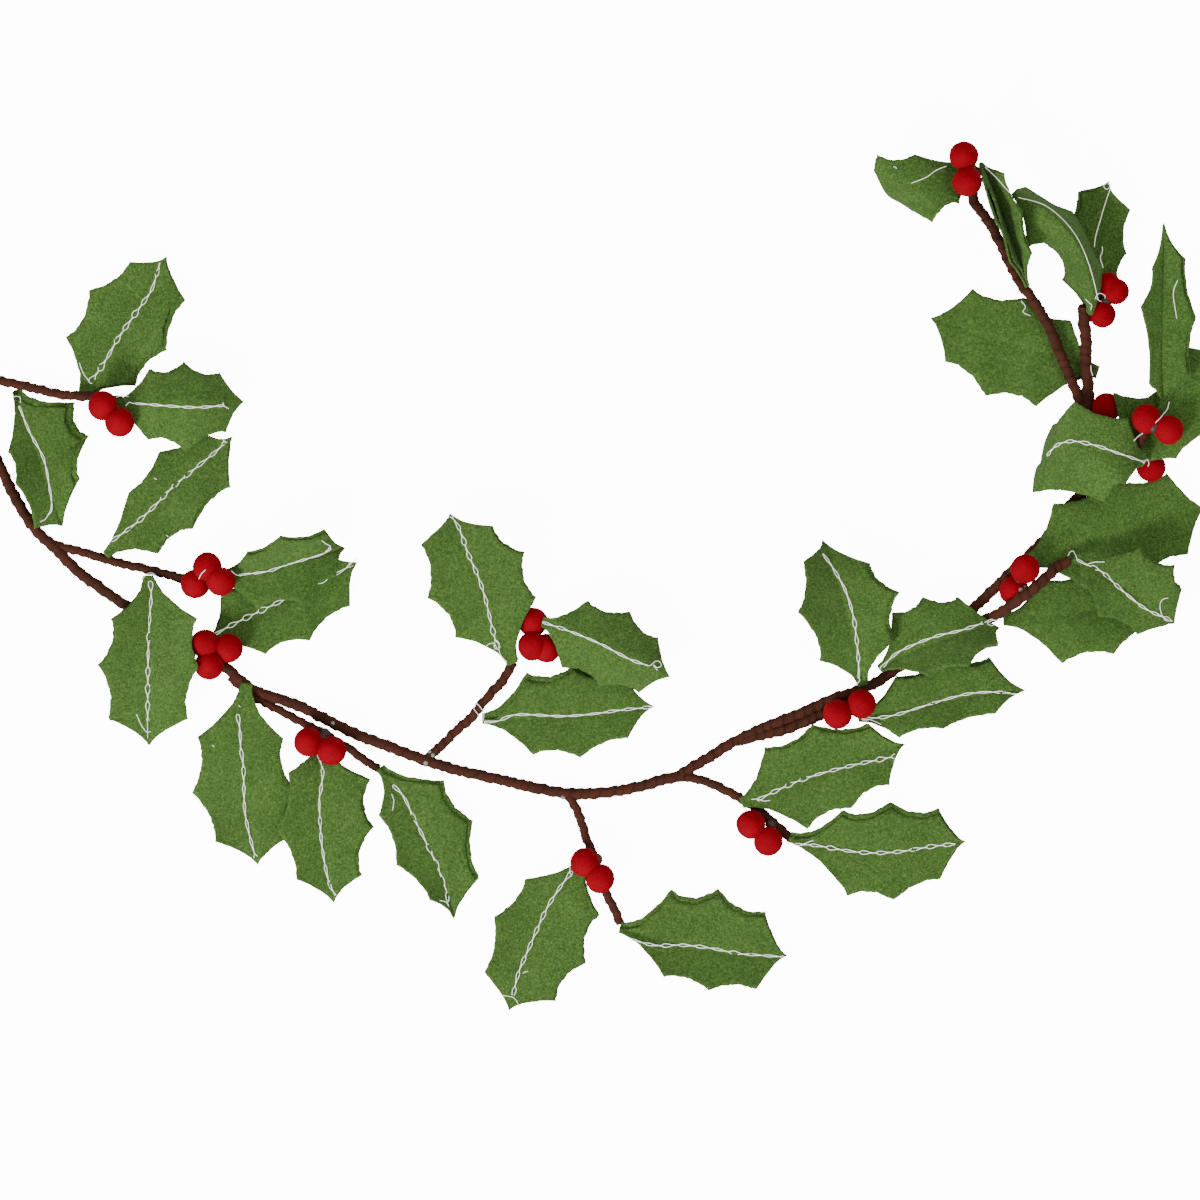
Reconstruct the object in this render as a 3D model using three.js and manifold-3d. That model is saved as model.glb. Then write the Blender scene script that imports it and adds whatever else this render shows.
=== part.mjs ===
// Felt holly garland, laid out flat on a surface and seen from above.
// Millimetres. +X runs along the swag, +Y away from the viewer, +Z up off the surface.
// The origin is on the flat underside of the main stem, at the lowest point of the swag.

import * as THREE from "three";
import Module from "manifold-3d";
import { mergeVertices } from "three/addons/utils/BufferGeometryUtils.js";

const wasm = await Module();
wasm.setup();

// Driving dimensions
const LEAF_LENGTH = 86; // neck to tip, along the stitched midrib
const NECK_HALF_WIDTH = 3;
const FELT_LAYER = 1.2; // one layer of felt
const LEAF_THICKNESS = 2 * FELT_LAYER; // two layers sewn together
const KNOT_RADIUS = 2.6; // of the wire that binds a cluster of berries
const BALL_SIDES = 10;
const BALL_RINGS = 7;
const STEM_SIDES = 8;
const STEM_STEP = 9; // length of stem between two sections
const CLEARANCE = 0.3; // between pieces that touch
const FLOOR_SIZE = 2000; // block that trims the stems flat where they rest

// The cutting die: its three spines a side, counted from the neck
const SPINES = [
  { along: 23, out: 21.5 },
  { along: 48, out: 25 },
  { along: 72.5, out: 20 },
];
const TIP = { along: LEAF_LENGTH, out: 0 };
const SCALLOP_DEPTH = [0, 3.6, 3.4, 3]; // hollow of the edge between spines, and up to the tip
const SHOULDER_POWER = 1.9; // how late the neck widens into the first spine
const SHOULDER_ROWS = [0, 0.4, 0.7, 0.88];
const ROWS_PER_SCALLOP = 3;
const COLUMNS_PER_WING = 2;
const WING_SPAN = 25; // half the leaf's greatest width

const COLOURS = { felt: 0x4c7a34, berry: 0xa01212, stem: 0x4a2318 };

const radians = THREE.MathUtils.degToRad;

// Rows of values, each read under its column's name
function table(columns, rows) {
  return rows.map((row) => Object.fromEntries(columns.map((column, i) => [column, row[i]])));
}

// Leaves. x, y, z: neck. head: compass of the neck-to-tip line, degrees from +X. turn: how far the
// midrib swings to the left on its way. size: share of the die's length. pitch: slope of the midrib
// at the neck, the middle and the tip. left, right: width of each wing seen from above as a share of
// the die's, at the first and the last spine, below zero where the wing hangs down. lift: share of
// the rise that goes with a narrow wing. skew: how far the left wing is drawn towards the tip.
const LEAF_COLUMNS = [
  "name", "x", "y", "z", "head", "turn", "size", "pitch", "left", "right", "lift", "skew",
];
const LEAVES = table(LEAF_COLUMNS, [
  ["a1", -239, 197, 1.6, 59.4, 0, 0.96, [0, 3, -4], [1.08, 0.78], [0.9, 0.95], 0.5, 0.08],
  ["a2", -223.5, 193, 10, 1.3, 8, 0.83, [32, 4, -42], [-0.86, -0.8], [-0.88, -0.88], 0.6, 0],
  ["a3", -273, 200.7, 1.6, -70.5, 0, 0.88, [0, 14, -20], [1.26, 0.78], [0.52, 0.7], 0.4, -0.27],
  ["b1", -227.5, 118.6, 5.7, 40.7, -13, 1.03, [0, -3, -3], [0.6, 0.85], [0.86, 0.82], 0.15, 0.26],
  ["b2", -205.5, 108.2, 5.9, -90, -3, 0.985, [8, -3, -8], [0.82, 0.9], [0.97, 1], 1, 0],
  ["b3", -173, 107.2, 6, 14, 14, 0.85, [20, 8, -36], [0.42, 0.42], [0.98, 0.86], 0.7, 0.05],
  ["c1", -175.5, 74.5, 2.6, 29, 0, 0.97, [0, -1, -1], [0.92, 0.8], [0.95, 0.94], 0.3, -0.08],
  ["c2", -156.3, 54.6, 6.7, -86.4, 23, 1.03, [0, -4, -3], [1, 1.02], [1.05, 0.98], 1, 0],
  ["d1", -119.5, 25, 5, -85.1, 20, 0.92, [8, -4, -8], [1.27, 0.9], [0.85, 0.8], 0.5, 0.02],
  ["d2", -90.2, 12, 5.4, -64.7, -27, 0.98, [-2, 0, -6], [1.02, 0.96], [0.74, 0.6], 0.35, 0],
  ["e1", -23.5, 64.5, 8, 112.6, 0, 0.97, [24, 4, -16], [1.02, 1], [1.08, 0.82], 0.5, -0.06],
  ["e2", -8.5, 85.2, 13, -23.3, -8, 0.85, [28, 8, -34], [-0.92, -0.82], [-0.8, -0.74], 0.8, -0.05],
  ["e3", -39, 36.5, 2.6, 4, 9, 1, [-1, 0, 0], [1, 0.95], [0.86, 0.8], 0.3, -0.04],
  ["f1", 12.6, -33.5, 3, -117.4, 16, 0.98, [-1, 0, 0], [1.1, 1.08], [0.88, 0.88], 0.6, 0.03],
  ["f2", 29.7, -68, 5.6, -10.3, 19, 1, [-4, -2, 0], [1.17, 1.15], [0.86, 0.84], 0.6, -0.06],
  ["g1", 90.5, -5.5, 6.2, 18.7, -7, 1, [0, -1, -2], [0.97, 0.95], [0.98, 0.88], 0.4, -0.05],
  ["g2", 114.8, -22.2, 5.7, -1, 32, 1.02, [-4, -2, 0], [0.9, 1], [1, 0.9], 0.2, 0.04],
  ["h1", 151, 53.6, 6.4, 105.5, 8, 0.9, [32, 4, -32], [0.96, 0.72], [1.14, 1.02], 1, 0.06],
  ["h2", 160, 61, 7.4, 21.6, -22, 0.8, [16, 6, -24], [-0.97, -0.92], [0.55, 0.52], 0.7, -0.2],
  ["h3", 149, 36.5, 2.4, 9.5, -8, 0.99, [0, 0, 0], [0.8, 0.98], [0.52, 0.48], 0.2, 0],
  ["j1", 221.5, 86.5, 2.3, 8, 10, 0.96, [0, 0, 0], [0.9, 0.9], [1.1, 0.68], 0, 0],
  ["j2", 257.2, 117.2, 12.9, -33.1, 0, 0.84, [28, 2, -40], [1, 0.8], [0.94, 0.8], 0.3, 0],
  ["k1", 232, 114.6, 7.15, 16.9, 0, 1.1, [0, -3, -5], [1.08, 1.05], [1, 1], 1, 0],
  ["k2", 291.5, 165, 20.3, 178, 40, 0.9, [62, -24, -94], [1, 1], [1, 0.9], 0, 0.2],
  ["m1", 269, 210, 2.4, 162.5, 0, 1.02, [0, 0, 0], [1.12, 1], [1, 1], 1, 0],
  ["o1", 279, 161, 9.9, 44, 0, 1.02, [28, 8, -14], [1.12, 1], [0.72, 0.9], 0.2, -0.15],
  ["o2", 299, 190.5, 27.4, 88.8, 0, 1.08, [2, -6, -8], [0.6, 0.5], [0.6, 0.5], 0.3, 0],
  ["n1", 267, 235, 2.2, 83.5, -15, 0.86, [0, 0, 24], [0.75, 0.65], [0.62, 0.7], 0.05, 0],
  ["n2", 264.5, 238.5, 16.7, 122, 78, 0.96, [34, 4, -34], [-0.42, -0.9], [-0.4, -0.24], 1, -0.3],
  ["m2", 233, 252.5, 12.6, 110.6, 0, 0.78, [20, 6, -10], [0.16, 0.12], [0.34, 0.42], 0.8, 0],
  ["m3", 207.5, 314.2, 14.5, -159, 0, 0.86, [36, 4, -138], [0.95, 0.92], [0.68, 0.95], 0.2, 0.3],
]);

// Where the spines of a leaf are seen from above: x and y of the three on its left, counted from the
// neck, then the tip, then the three on its right. null: hidden under another piece.
const SPINE_PLACES = table(["name", "left", "tip", "right"], [
  ["a1", [[-247, 227.5], [-235.2, 250.8], [-215.2, 265.2]], [-196.5, 267.8],
    [[-212.2, 203], [-196.5, 220.5], [-187, 245.8]]],
  ["a2", [[-204.2, 211.5], [-187.8, 215], [-170.8, 209.8]], [-158.5, 195],
    [[-205, 176], [-186.5, 170], [-167.2, 180]]],
  ["a3", [[-242.2, 195], [-235.5, 178], [-239.8, 156.5]], [-248.5, 132.5],
    [[-275.5, 170], [-272, 154], [-262.5, 131.5]]],
  ["b1", [[-215.5, 150], [-200, 170.5], [-179, 180.5]], [-163.5, 177.8],
    [[-200.5, 118.8], [-183, 131.8], [-164.8, 152.5]]],
  ["b2", [[-180.8, 86.8], [-179.5, 63], [-185.5, 36.5]], [-205.5, 23.2],
    [[-224, 86.5], [-230.5, 63.5], [-226, 37]]],
  ["b3", [[-155.5, 119.2], [-138.8, 127.2], [-116.5, 130.8]], [-107.2, 122],
    [[-150.5, 91], [-128.5, 94.5], [-111.5, 107.5]]],
  ["c1", [[-169.5, 100], null, null], [-101.2, 115], [[-147, 68.8], [-125, 75.8], [-104.8, 93]]],
  ["c2", [[-138, 27], [-132, 1], [-133.5, -21.5]], [-150.8, -36.5],
    [[-181, 27.5], [-183.8, -0.2], [-172.2, -24.8]]],
  ["d1", [[-94.2, 6.5], [-93, -17.5], [-99, -41.5]], [-113, -55.5],
    [[-136, 10], [-141, -19.5], [-132, -43.5]]],
  ["d2", [[-58, 5.8], [-43.5, -14], [-40.2, -42.8]], [-52.8, -63.5],
    [[-90.8, -11.5], [-82.2, -36.5], [-65.2, -54]]],
  ["e1", [[-52.2, 77.5], [-66, 97], [-69.5, 123.5]], [-55, 139.2],
    [[-11.5, 97.5], [-17.8, 119.8], [-33.5, 133]]],
  ["e2", [[14, 96], [34.8, 90.5], [48.5, 77.8]], [54.5, 57.8], [[1.5, 62.5], null, [39.2, 50.5]]],
  ["e3", [[-17, 59.8], null, null], [47, 43], [[-13.5, 18.5], [10, 17], [34, 26.5]]],
  ["f1", [[20, -61.5], [13.2, -85.5], [-2, -104.5]], [-25.5, -109.2],
    [[-17.5, -43], [-33, -62], [-38.2, -89.8]]],
  ["f2", [[55.5, -48.5], [79, -48], [102.5, -59.5]], [113.5, -81.5],
    [[51.8, -92.5], [74.2, -99], [98, -99.2]]],
  ["g1", [[102.2, 22.5], [126, 34], [154, 34.5]], [172.5, 24],
    [[123.5, -18.5], [145.8, -8.2], [164.5, 3.5]]],
  ["g2", [[141, -9], [165, -4.5], [189.5, -8]], [202.8, -24.5],
    [[144, -51.5], [166.5, -54.2], [190.2, -43.5]]],
  ["h1", [[129, 66], [118.2, 89.8], [120.5, 115]], [131, 126],
    [[167.5, 76], [169.2, 100], [155.2, 114.5]]],
  ["h2", [[165.5, 90], [181, 98], [198.5, 97.5]], [219.5, 82],
    [[183, 58.5], [203.5, 63], [218.8, 74]]],
  ["h3", [[168, 58], null, [214.5, 67.5]], [232.5, 51], [[169.5, 27], [191.5, 31.5], [217.5, 39]]],
  ["j1", [null, null, null], [302.5, 96], [[251, 64], [276.8, 69], [300, 86]]],
  ["j2", [[290.5, 121.8], [306.2, 113.5], [310, 103]], [306.5, 84.5],
    [[259, 104], [267.5, 87.5], [287.5, 79]]],
  ["k1", [[246.5, 144.5], null, [303, 159.5]], null, [null, null, null]],
  ["k2", [[281, 153], [271.5, 144.5], [236.5, 149.5]], [240.8, 163.8],
    [[282.5, 186.5], [256.5, 195], [246.5, 183.5]]],
  ["o1", [[275.5, 199.5], [294, 198], [309, 223]], null, [null, null, null]],
  ["m1", [[238, 192.5], [212.5, 197.8], [192.5, 215.2]], [185, 237],
    [[255.5, 236], [232, 247.5], [206.2, 251.5]]],
  ["o2", [[293, 203.5], [288.5, 242], [295, 261]], [301, 284],
    [[314, 207], [316.5, 237], [311, 266]]],
  ["n1", [null, null, [258.5, 300]], [274, 305], [null, [283.2, 269], [285.2, 290.8]]],
  ["n2", [[253, 256.5], [243.5, 273.5], [233, 271]], [225, 298],
    [[270, 262], [255, 289.2], [232, 301.5]]],
  ["m3", [[198.8, 293.5], [185.5, 283.8], [177.5, 293.5]], [170, 301],
    [[176, 317.5], [157.5, 318], [160, 311]]],
]);

// Stems: wrapped wire. route: points it passes through. trims: earlier stems it is fitted against.
const STEMS = [
  { name: "main_left", diameter: 5.2, trims: [], route: [
    [-313, 217, 2.45], [-303, 204.5, 2.45], [-291.5, 186, 2.45], [-280, 163, 2.45], [-273, 148.5, 2.45],
    [-267.5, 139, 2.45], [-262, 131, 2.45], [-252, 121.5, 2.45], [-240, 109.5, 2.45], [-230, 102.2, 2.45],
    [-216.5, 93, 2.45], [-191, 79.5, 2.45], [-176, 70, 2.45], [-166.6, 62, 2.45], [-159, 55, 2.45],
    [-152, 50.3, 2.45]] },
  { name: "main_middle", diameter: 5.2, trims: ["main_left"], route: [
    [-152, 50.3, 2.45], [-142.5, 47.2, 2.45], [-130, 42.8, 2.45], [-117.5, 36.5, 2.45], [-102.5, 29.2, 2.45],
    [-89.5, 24.2, 2.45], [-66, 15.5, 2.45], [-47.5, 10, 2.45], [-31, 6.5, 2.45], [-14, 2.5, 2.45],
    [3, -0.5, 2.45], [19.5, -0.5, 2.45], [36.5, 2, 2.45], [53, 6.5, 2.45], [61.5, 8, 2.45]] },
  { name: "branch_a", diameter: 4.3, trims: ["main_left"], route: [
    [-304, 210, 4], [-292, 208, 5.6], [-280, 205.5, 5.6], [-270, 203.5, 5.6], [-260, 201.2, 5.6],
    [-250, 198.8, 5.6], [-241, 198, 5.6], [-234, 197.8, 5.6], [-220.5, 195.5, 5.8], [-217.5, 193.5, 6]] },
  { name: "branch_b", diameter: 4.1, trims: ["main_left"], route: [
    [-259, 127, 2], [-249.5, 122.5, 2], [-242, 120.8, 2], [-235, 119, 2], [-225, 115.8, 2],
    [-215, 113.2, 2], [-205, 111, 2], [-195, 108.5, 2], [-188, 106.8, 2], [-179.5, 108, 2]] },
  { name: "branch_d", diameter: 3.8, trims: ["main_left", "main_middle"], route: [
    [-165, 57.4, 1.9], [-161.5, 54.2, 1.9], [-153.5, 47.8, 1.9], [-148, 44.8, 1.9], [-142.5, 42, 1.9],
    [-137.5, 39.5, 1.9], [-132.5, 36.8, 1.9], [-127.5, 34.2, 1.9], [-117, 28.8, 1.9], [-107.5, 23, 1.9],
    [-102.5, 19.5, 1.9], [-97.5, 16, 1.9], [-90.5, 11.6, 1.9]] },
  { name: "branch_e", diameter: 4.4, trims: ["main_middle"], route: [
    [-67, 16, 2.2], [-57.5, 25, 2.2], [-51, 31.5, 2.2], [-44, 37.5, 2.2], [-39, 44, 2.2],
    [-34, 50, 2.2], [-28, 56.5, 2.4], [-23.7, 64.4, 4.5]] },
  { name: "branch_f", diameter: 4.1, trims: ["main_middle"], route: [
    [4.5, -2, 2], [8, -8, 2], [10.5, -14.5, 2], [13, -22.5, 2], [15.5, -28.5, 2], [19, -39, 2],
    [23, -50.5, 2], [27, -58, 2], [30.2, -66, 2]] },
  { name: "branch_g", diameter: 4.2, trims: ["main_middle"], route: [
    [60, 8.5, 2.1], [73.5, 5, 2.1], [82.5, 1, 2.1], [91, -3.5, 2.1], [99.5, -9.5, 2.1],
    [108, -16.5, 2.1], [115.6, -23.4, 2.1]] },
  { name: "branch_i", diameter: 5, trims: ["main_middle", "branch_g"], route: [
    [60.5, 9, 2.4], [67, 13, 2.4], [75.5, 18, 2.4], [84, 23.5, 2.4], [97, 30, 2.4], [105, 33.4, 2.4],
    [115.7, 37.6, 2.4], [127, 42.4, 2.4], [138, 47.2, 2.4], [149, 50.8, 2.4], [160, 56, 2.4],
    [186, 76, 2.4], [209.5, 94.5, 2.4], [218, 102.7, 2.4], [225.5, 110, 2.4], [234, 118, 2.4],
    [242, 126, 2.4], [257.5, 146, 2.4], [272.5, 158.5, 2.4], [286, 168, 2.4]] },
  { name: "branch_h", diameter: 4.8, trims: ["branch_i"], route: [
    [88.5, 25.2, 2.4], [98, 27.9, 2.4], [106, 29.6, 2.4], [117, 32.8, 2.4], [127, 37.1, 2.4],
    [135.5, 40.8, 2.4], [144, 44.6, 2.4]] },
  { name: "branch_j", diameter: 5, trims: ["branch_i"], route: [
    [190, 79, 2.8], [204, 83.5, 4], [213.5, 86.5, 5.6], [221.5, 90.8, 13.2], [228, 95.6, 17.2],
    [235, 100.8, 17.8], [241.5, 106.5, 15.8], [248.5, 112.5, 12.6], [254, 115.5, 11.4]] },
  { name: "branch_n", diameter: 5.6, trims: ["branch_i"], route: [
    [266, 154, 2.7], [265.5, 172, 4.6], [264, 190, 6.5], [263.5, 206.5, 7.2], [262.7, 216, 7.2],
    [262.7, 226, 7.6], [261.6, 234.5, 9.6], [261.4, 242.6, 12.4]] },
  { name: "branch_m", diameter: 4.8, trims: ["branch_n"], route: [
    [262.5, 184, 6.2], [259, 197, 6.6], [255.5, 205.5, 6.6], [252, 214, 6.6], [248, 223.5, 6.6],
    [244, 233, 7], [239.5, 240.5, 7.6], [235.5, 247, 8.2], [230.5, 253.5, 9], [225, 263, 9.5],
    [220.5, 273, 10], [216, 281.5, 10], [211, 289, 10], [206.5, 295.5, 9.6], [206, 303, 9],
    [209, 312, 8.6]] },
  { name: "branch_o", diameter: 5.2, trims: ["branch_i"], route: [
    [275.6, 161.5, 2.6], [274, 168, 8], [276, 173.6, 17.4], [282.5, 172.8, 21.3], [288, 174, 23.4],
    [290.3, 179.6, 25.6]] },
];

// Berries, in the clusters that share one bound wire. radius: of each felt ball. knots: of that wire.
const BERRIES = [
  { name: "a", radius: 6.9, balls: [[-228, 193, 18], [-219.5, 184.5, 19.3]], knots: [] },
  { name: "b", radius: 6.9, balls: [[-176, 112.5, 14.4], [-182, 104, 10.4], [-169, 105.3, 17.2]], knots: [] },
  { name: "c", radius: 6.9, balls: [[-177, 74, 12.4], [-165.5, 72, 11.1], [-175, 63.5, 12.6]], knots: [] },
  { name: "d", radius: 6.9, balls: [[-125.5, 25, 13], [-114, 20.7, 14.6]],
    knots: [[-119, 26.5, 9.4], [-117.5, 29, 6.8]] },
  { name: "e", radius: 6.9, balls: [[-13.5, 85, 7], [-13.7, 73, 10], [-6.8, 72, 8]], knots: [] },
  { name: "f", radius: 6.9, balls: [[12.5, -35, 11.4], [20, -43, 11.2]], knots: [] },
  { name: "g", radius: 6.9, balls: [[95.4, -16.2, 7.1], [104, -24.5, 7.5]], knots: [] },
  { name: "h", radius: 6.9, balls: [[138.5, 39, 11.6], [150.5, 44, 11.8]], knots: [] },
  { name: "j", radius: 6.9, balls: [[232, 111.5, 15.6], [226.7, 100.7, 8.5]], knots: [[229.3, 106.6, 12.3]] },
  { name: "k", radius: 6.9, balls: [[273, 192.2, 10.6]], knots: [] },
  { name: "o", radius: 6.9, balls: [[303, 180.5, 31.4], [291.8, 186.2, 30]], knots: [] },
  { name: "p", radius: 6.9, balls: [[295.2, 162.2, 9.5]], knots: [] },
  { name: "n", radius: 6.2, balls: [[277.5, 250, 10.3], [273.5, 253, 10.3], [270.8, 238.5, 10.4]],
    knots: [[272.5, 245, 11]] },
  { name: "m", radius: 6.9, balls: [[201, 317, 30], [202.6, 304, 31.7]], knots: [[202, 310.5, 30.8]] },
];

// Half the die's width at a distance along the midrib
function dieHalfWidth(along) {
  const first = SPINES[0];
  if (along <= first.along) {
    const share = along / first.along;
    return NECK_HALF_WIDTH + (first.out - NECK_HALF_WIDTH) * share ** SHOULDER_POWER;
  }
  const corners = [...SPINES, TIP];
  const next = corners.findIndex((corner) => along <= corner.along + 1e-9);
  const from = corners[next - 1];
  const to = corners[next];
  const share = (along - from.along) / (to.along - from.along);
  const straight = from.out + (to.out - from.out) * share;
  return Math.max(0, straight - SCALLOP_DEPTH[next] * 4 * share * (1 - share));
}

// Distances along the midrib at which a leaf has a row of points
function dieRows() {
  const rows = SHOULDER_ROWS.map((share) => share * SPINES[0].along);
  const corners = [...SPINES, TIP];
  for (let i = 1; i < corners.length; i++) {
    const from = corners[i - 1].along;
    const to = corners[i].along;
    for (let k = 0; k < ROWS_PER_SCALLOP; k++) rows.push(from + ((to - from) * k) / ROWS_PER_SCALLOP);
  }
  rows.push(LEAF_LENGTH);
  return rows;
}

// Slope of a leaf's midrib, from its values at the neck, the middle and the tip
function midribPitch(leaf, share) {
  const [neck, middle, tip] = leaf.pitch;
  return share < 0.5 ? neck + (middle - neck) * 2 * share : middle + (tip - middle) * (2 * share - 1);
}

// The midrib of a leaf as a walk in small steps: place and compass at each
const MIDRIB_STEPS = 60;
function midribWalk(leaf) {
  const step = (leaf.size * LEAF_LENGTH) / MIDRIB_STEPS;
  const walk = [{ x: leaf.x, y: leaf.y, z: leaf.z }];
  for (let i = 0; i < MIDRIB_STEPS; i++) {
    const share = (i + 0.5) / MIDRIB_STEPS;
    const compass = radians(leaf.head + leaf.turn * (share - 0.5));
    const pitch = radians(midribPitch(leaf, share));
    const last = walk[i];
    walk.push({
      x: last.x + step * Math.cos(pitch) * Math.cos(compass),
      y: last.y + step * Math.cos(pitch) * Math.sin(compass),
      z: last.z + step * Math.sin(pitch),
    });
  }
  return walk;
}

// A point of a leaf's bent middle surface; along and across are sizes on the flat die
function bentPoint(leaf, walk, along, across) {
  const [first, last] = across >= 0 ? leaf.left : leaf.right;
  const passed = (along - SPINES[0].along) / (SPINES[2].along - SPINES[0].along);
  const wing = first + (last - first) * THREE.MathUtils.clamp(passed, 0, 1);
  const seen = Math.min(1, Math.abs(wing));
  const lift = leaf.lift * Math.sign(wing) * Math.sqrt(1 - seen * seen);
  const drawn = THREE.MathUtils.clamp(along + leaf.skew * across, 0, LEAF_LENGTH * 1.1);
  const share = drawn / LEAF_LENGTH;
  const place = THREE.MathUtils.clamp(share, 0, 1) * MIDRIB_STEPS;
  const low = Math.min(MIDRIB_STEPS - 1, Math.floor(place));
  const part = place - low;
  const a = walk[low];
  const b = walk[low + 1];
  const compass = radians(leaf.head + leaf.turn * (share - 0.5));
  const pitch = radians(midribPitch(leaf, share));
  const beyond = Math.max(0, share - 1) * leaf.size * LEAF_LENGTH;
  const side = across * Math.abs(wing);
  const reach = Math.abs(across);
  const rise = lift * reach * (0.7 + (0.3 * reach) / WING_SPAN);
  const ahead = beyond * Math.cos(pitch) - rise * Math.sin(pitch);
  return new THREE.Vector3(
    a.x + (b.x - a.x) * part + ahead * Math.cos(compass) - side * Math.sin(compass),
    a.y + (b.y - a.y) * part + ahead * Math.sin(compass) + side * Math.cos(compass),
    a.z + (b.z - a.z) * part + beyond * Math.sin(pitch) + rise * Math.cos(pitch),
  );
}

// How far each spine of a leaf is drawn, from where bending alone puts it to its seen place
const PULL_STOPS = [0, ...SPINES.map((spine) => spine.along), LEAF_LENGTH];
const PULL_LIMIT = 1.2; // share of the half width out to which the pull grows
function spinePulls(leaf, walk) {
  const seen = SPINE_PLACES.find((row) => row.name === leaf.name);
  const pull = (place, along, across) => {
    if (!place) return null;
    const bent = bentPoint(leaf, walk, along, across);
    return new THREE.Vector2(place[0] - bent.x, place[1] - bent.y);
  };
  const none = new THREE.Vector2();
  const tip = (seen && pull(seen.tip, LEAF_LENGTH, 0)) || none;
  const edge = (places, side) => {
    const spines = SPINES.map((spine, i) => places && pull(places[i], spine.along, side * spine.out));
    return withHiddenFilled([none, ...spines, tip]);
  };
  return { tip, left: edge(seen?.left, 1), right: edge(seen?.right, -1) };
}

// A hidden spine is drawn as far as its seen neighbours are
function withHiddenFilled(pulls) {
  return pulls.map((pull, i) => {
    if (pull) return pull;
    let before = i;
    while (!pulls[before]) before--;
    let after = i;
    while (!pulls[after]) after++;
    const share = (PULL_STOPS[i] - PULL_STOPS[before]) / (PULL_STOPS[after] - PULL_STOPS[before]);
    return pulls[before].clone().lerp(pulls[after], share);
  });
}

// A point of a leaf's middle surface, with its outline drawn to the seen spines
function leafPoint(leaf, walk, pulls, along, across) {
  const edge = across >= 0 ? pulls.left : pulls.right;
  const next = Math.max(1, PULL_STOPS.findIndex((stop) => along <= stop + 1e-9));
  const share = (along - PULL_STOPS[next - 1]) / (PULL_STOPS[next] - PULL_STOPS[next - 1]);
  const outer = edge[next - 1].clone().lerp(edge[next], share);
  const middle = pulls.tip.clone().multiplyScalar((along / LEAF_LENGTH) ** 2);
  const reach = Math.min(PULL_LIMIT, Math.abs(across) / Math.max(dieHalfWidth(along), NECK_HALF_WIDTH));
  const pull = middle.lerp(outer, reach);
  const bent = bentPoint(leaf, walk, along, across);
  return bent.add(new THREE.Vector3(pull.x, pull.y, 0));
}

// One leaf: both felt layers as one thin solid on the leaf's bent middle surface
function leafGeometry(leaf) {
  const walk = midribWalk(leaf);
  const pulls = spinePulls(leaf, walk);
  const place = (along, across) => leafPoint(leaf, walk, pulls, along, across);
  const rows = dieRows();
  const columns = 2 * COLUMNS_PER_WING + 1;
  const NUDGE = 0.05;
  const faces = { top: [], under: [] };
  for (const along of rows) {
    const halfWidth = dieHalfWidth(along);
    for (let j = 0; j < columns; j++) {
      const across = halfWidth * (j / COLUMNS_PER_WING - 1);
      const back = Math.max(0, along - NUDGE);
      const ahead = Math.min(LEAF_LENGTH, along + NUDGE);
      const alongEdge = place(ahead, across).sub(place(back, across));
      const acrossEdge = place(along, across + NUDGE).sub(place(along, across - NUDGE));
      const normal = alongEdge.cross(acrossEdge).normalize();
      const middle = place(along, across);
      faces.top.push(middle.clone().addScaledVector(normal, LEAF_THICKNESS / 2));
      faces.under.push(middle.clone().addScaledVector(normal, -LEAF_THICKNESS / 2));
    }
  }
  const points = [...faces.top, ...faces.under];
  const under = faces.top.length;
  const index = [];
  const quad = (a, b, c, d) => index.push(a, b, c, a, c, d);
  for (let i = 0; i + 1 < rows.length; i++) {
    for (let j = 0; j + 1 < columns; j++) {
      const a = i * columns + j;
      const b = a + columns;
      quad(a, b, b + 1, a + 1);
      quad(under + a, under + a + 1, under + b + 1, under + b);
    }
    const right = i * columns;
    const left = right + columns - 1;
    quad(right, under + right, under + right + columns, right + columns);
    quad(left, left + columns, under + left + columns, under + left);
  }
  for (let j = 0; j + 1 < columns; j++) quad(j, j + 1, under + j + 1, under + j);
  const geometry = new THREE.BufferGeometry().setFromPoints(points);
  geometry.setIndex(index);
  return withoutSlivers(geometry);
}

// Shared points merged, and the flat triangles that leaves behind taken out
function withoutSlivers(geometry) {
  const bare = geometry.clone();
  bare.deleteAttribute("normal");
  bare.deleteAttribute("uv");
  const merged = mergeVertices(bare, 1e-3);
  const corners = merged.index.array;
  const kept = [];
  for (let i = 0; i < corners.length; i += 3) {
    const [a, b, c] = corners.subarray(i, i + 3);
    if (a !== b && b !== c && c !== a) kept.push(a, b, c);
  }
  merged.setIndex(kept);
  return merged;
}

function solidFrom(geometry) {
  const merged = withoutSlivers(geometry);
  return new wasm.Manifold(
    new wasm.Mesh({
      numProp: 3,
      vertProperties: new Float32Array(merged.attributes.position.array),
      triVerts: new Uint32Array(merged.index.array),
    }),
  );
}

function geometryFrom(solid) {
  const mesh = solid.getMesh();
  const geometry = new THREE.BufferGeometry();
  geometry.setAttribute("position", new THREE.BufferAttribute(mesh.vertProperties, 3));
  geometry.setIndex(new THREE.BufferAttribute(mesh.triVerts, 1));
  return geometry;
}

// The line of a stem, drawn out past both of its ends where a sleeve needs it
function stemCurve(stem, past) {
  const points = stem.route.map((point) => new THREE.Vector3(...point));
  const [second, first] = [points[1], points[0]];
  const [beforeLast, last] = points.slice(-2);
  const start = first.clone().sub(second).normalize();
  const end = last.clone().sub(beforeLast).normalize();
  first.addScaledVector(start, past);
  last.addScaledVector(end, past);
  return new THREE.CatmullRomCurve3(points);
}

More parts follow.
